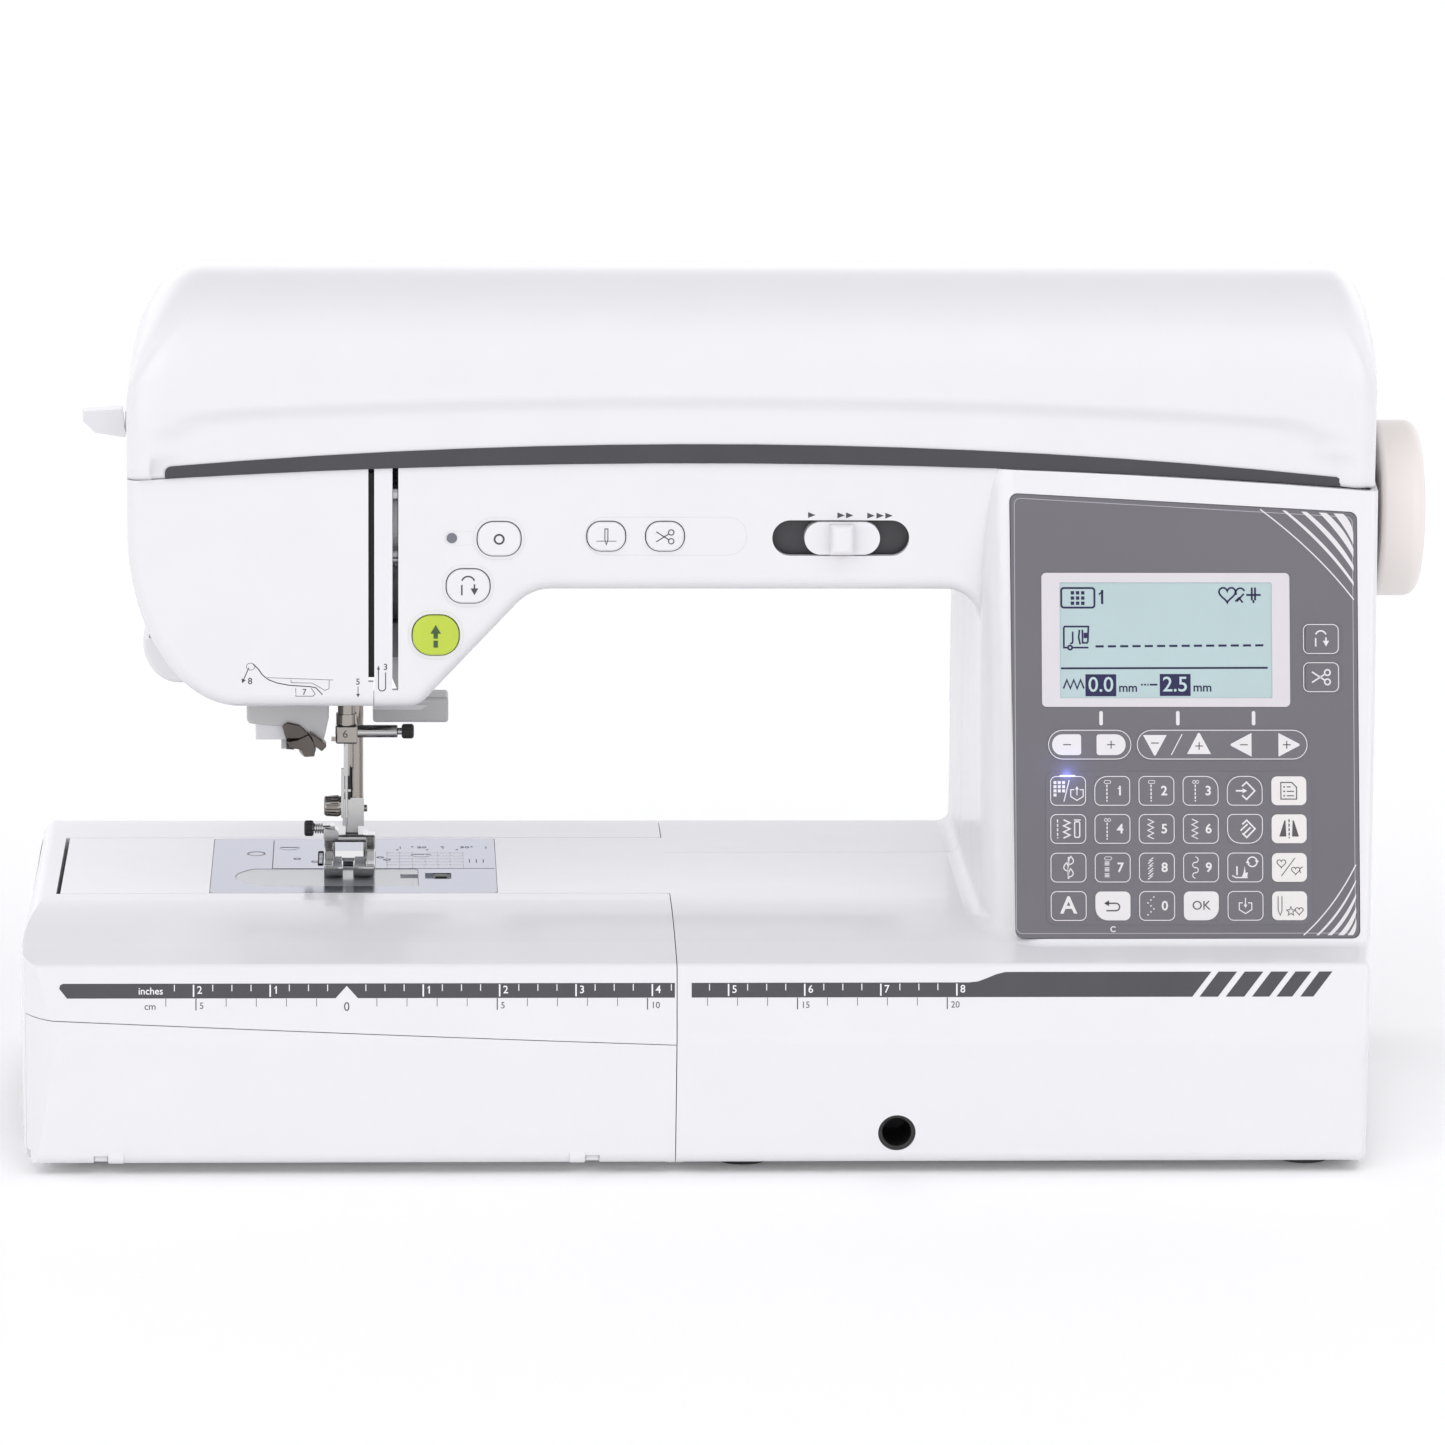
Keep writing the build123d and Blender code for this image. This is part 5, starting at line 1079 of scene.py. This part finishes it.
def make_needle_details():
    nickel, chrome, black = MATERIALS["nickel"], MATERIALS["chrome"], MATERIALS["black"]
    # clamp with its thumb screw
    tube = [(-124.9, 2.2), (-111.2, 2.2), (-110.9, 1.9), (-110.9, 1.2), (-109.3, 1.2)]
    tube = lathe("clamp_tube", "needle_unit", chrome, tube, (0.0, 127.6))
    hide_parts("clamp_screw")
    knob = [(-109.6, 1.6), (-109.4, 2.2), (-108.9, 2.55), (-106.0, 2.55), (-105.5, 2.2), (-105.3, 1.6)]
    lathe("clamp_knob", "needle_unit", black, knob, (0.0, 127.6), steps=64, knurl=0.16, teeth=16)
    six = Print()
    six.text("6", -129.0, 127.3, 2.7)
    lay(six, "clamp_number", "needle_unit", MATERIALS["ink_dark"], on_front(-3.96))

    # presser foot holder: screw barrel, pin, thread guide behind the needle
    barrel = [(-136.5, 2.2), (-136.3, 3.1), (-135.6, 3.55), (-131.6, 3.75), (-130.8, 3.4), (-130.6, 2.4)]
    lathe("holder_screw", "presser", nickel, barrel, (8.5, 99.3), steps=72, knurl=0.14, teeth=18)
    lathe("pin_knob", "presser", black, [(-143.3, 1.6), (-143.1, 2.5), (-142.6, 2.75), (-140.6, 2.75), (-140.1, 2.4),
                                         (-139.9, 1.5)], (3.4, 92.5), steps=64, knurl=0.2, teeth=16)
    coil_spring("pin_spring", "presser", chrome, -139.8, -136.6, (3.4, 92.5), 1.6, 0.27, 4)
    housing = [(-136.6, 89.0), (-131.4, 89.0), (-131.4, 91.9), (-132.2, 92.6), (-136.0, 92.9), (-136.6, 92.3)]
    plate_piece("pin_housing", "presser", chrome, housing, 0.6, 6.2)
    plate_piece("needle_guide", "presser", black, [(-129.4, 102.4), (-127.2, 102.4), (-127.2, 113.4), (-129.4, 113.4)],
                4.4, 5.3, edge=0.15)
    plate_piece("guide_rail", "presser", chrome, [(-130.5, 96.0), (-129.6, 96.0), (-129.6, 113.6), (-130.5, 113.6)],
                4.3, 5.2, edge=0.2)
    plate_piece("guide_bridge", "presser", chrome, [(-129.5, 105.2), (-127.1, 105.2), (-127.1, 106.2), (-129.5, 106.2)],
                4.1, 4.5, edge=0.1)
    lathe("holder_rivet", "presser", nickel, [(-122.8, 1.2), (-121.6, 1.2), (-121.4, 0.8)], (8.5, 98.5), steps=32)

    # foot: side plates, cross bar and clear middle
    for side, x0, x1 in (("left", -136.3, -133.2), ("right", -121.9, -118.7)):
        outline = [(-17.0, 82.0), (12.0, 82.0), (12.0, 86.0), (9.0, 90.2), (2.5, 90.2), (-2.0, 86.4), (-12.0, 84.6), (-17.0, 84.2)]
        plate_piece("foot_cheek_" + side, "presser", chrome, outline, x0, x1, axis="X", edge=0.5)
    lathe("foot_cross_bar", "presser", chrome, [(-133.2, 1.3), (-121.9, 1.3)], (3.2, 88.9), steps=32)
    shield = [(-15.0, 82.4), (-3.0, 82.4), (-3.0, 84.0), (-13.6, 83.6), (-15.0, 83.2)]
    plate_piece("foot_shield_left", "presser", MATERIALS["clear"], shield, -133.0, -130.1, axis="X", edge=0.3)
    plate_piece("foot_shield_right", "presser", MATERIALS["clear"], shield, -125.9, -122.0, axis="X", edge=0.3)

    # threader: pale slide and dark turning hook parts under the shroud
    slide = [(-159.8, 126.1), (-149.2, 126.1), (-149.2, 132.3), (-159.8, 132.3)]
    plate_piece("threader_slide", "threader", MATERIALS["gloss_white"], slide, -6.8, -1.5)
    hook_parts = {
        "hook_guide": [(-150.6, 131.4), (-148.8, 132.8), (-144.7, 131.8), (-141.3, 128.6), (-144.3, 127.1), (-149.4, 127.1)],
        "hook_arm": [(-148.6, 126.2), (-145.1, 126.9), (-141.5, 128.7), (-139.2, 125.2), (-139.5, 121.0),
                     (-143.1, 120.8), (-144.2, 123.4), (-148.2, 124.0)],
        "hook_tip": [(-141.2, 129.7), (-136.4, 126.2), (-135.3, 124.7), (-137.0, 122.9), (-139.4, 124.8)],
    }
    for depth, (name, outline) in enumerate(hook_parts.items()):
        plate_piece(name, "threader", MATERIALS["brown_metal"], outline, -10.4 - 0.7 * depth, -5.2, edge=0.45)
    lathe("hook_pivot", "threader", MATERIALS["brown_metal"], [(-149.2, 1.9), (-146.6, 2.1), (-146.4, 1.4)],
          (-8.0, 124.9), steps=32, knurl=0.2, teeth=8)

    # bright lip on the lifting lever, blade slot of the side cutter, and a black sheet behind the left thread slot that
    # paints the slot's shade
    lip = [(-119.4, 129.2), (-103.0, 129.2), (-100.2, 130.9), (-119.4, 130.9)]
    plate_piece("lever_lip", "presser_lever", MATERIALS["gloss_white"], lip, 28.2, 28.8, edge=0.1)
    blade = [(-195.1, 166.2), (-193.2, 164.8), (-192.2, 160.6), (-193.0, 160.4), (-194.6, 163.0)]
    plate_piece("cutter_slot", "machine", black, blade, -16.4, -15.8, edge=0.1)
    # painted shade: a black sheet that darkens the inside of the left thread slot
    shade_sheet = [(-121.6, 156.2), (-118.3, 156.2), (-118.3, 226.5), (-121.6, 226.5)]
    plate_piece("slot_painted_shade_left", "machine", black, shade_sheet, -46.5, -45.9, edge=0.1)


def make_lid_lugs():
    """Two hinge lugs behind the lid; each barrel wraps its pin in the rear cover."""
    axis_y, axis_z = LID_BACK_Y + 3.0, 250.0
    barrel, bore, root_y = 3.5, 1.75, LID_BACK_Y - 3.2
    outline = [(root_y, axis_z - barrel)] + arc(axis_y, axis_z, barrel, -90, 90, 16) + [(root_y, axis_z + barrel)]
    outline += [(root_y, axis_z + 0.3)] + arc(axis_y, axis_z, bore, 170, -170, 24) + [(root_y, axis_z - 0.3)]
    for name, x in (("lid_lug_left", -150.0), ("lid_lug_right", 160.0)):
        plate_piece(name, "lid", MATERIALS["gloss_white"], outline, x - 6.0, x + 6.0, axis="X", edge=0.3)


# ---- making -----------------------------------------------------------------------------------------
make_camera()
make_studio()
make_floor(MATERIALS["floor"])
dress_cad_nodes()
lid = make_lid()
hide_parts("top_cover")
make_lid_lugs()
print_panel()
print_display()
print_ruler()
print_head()
print_arm()
print_plate()
make_needle_details()
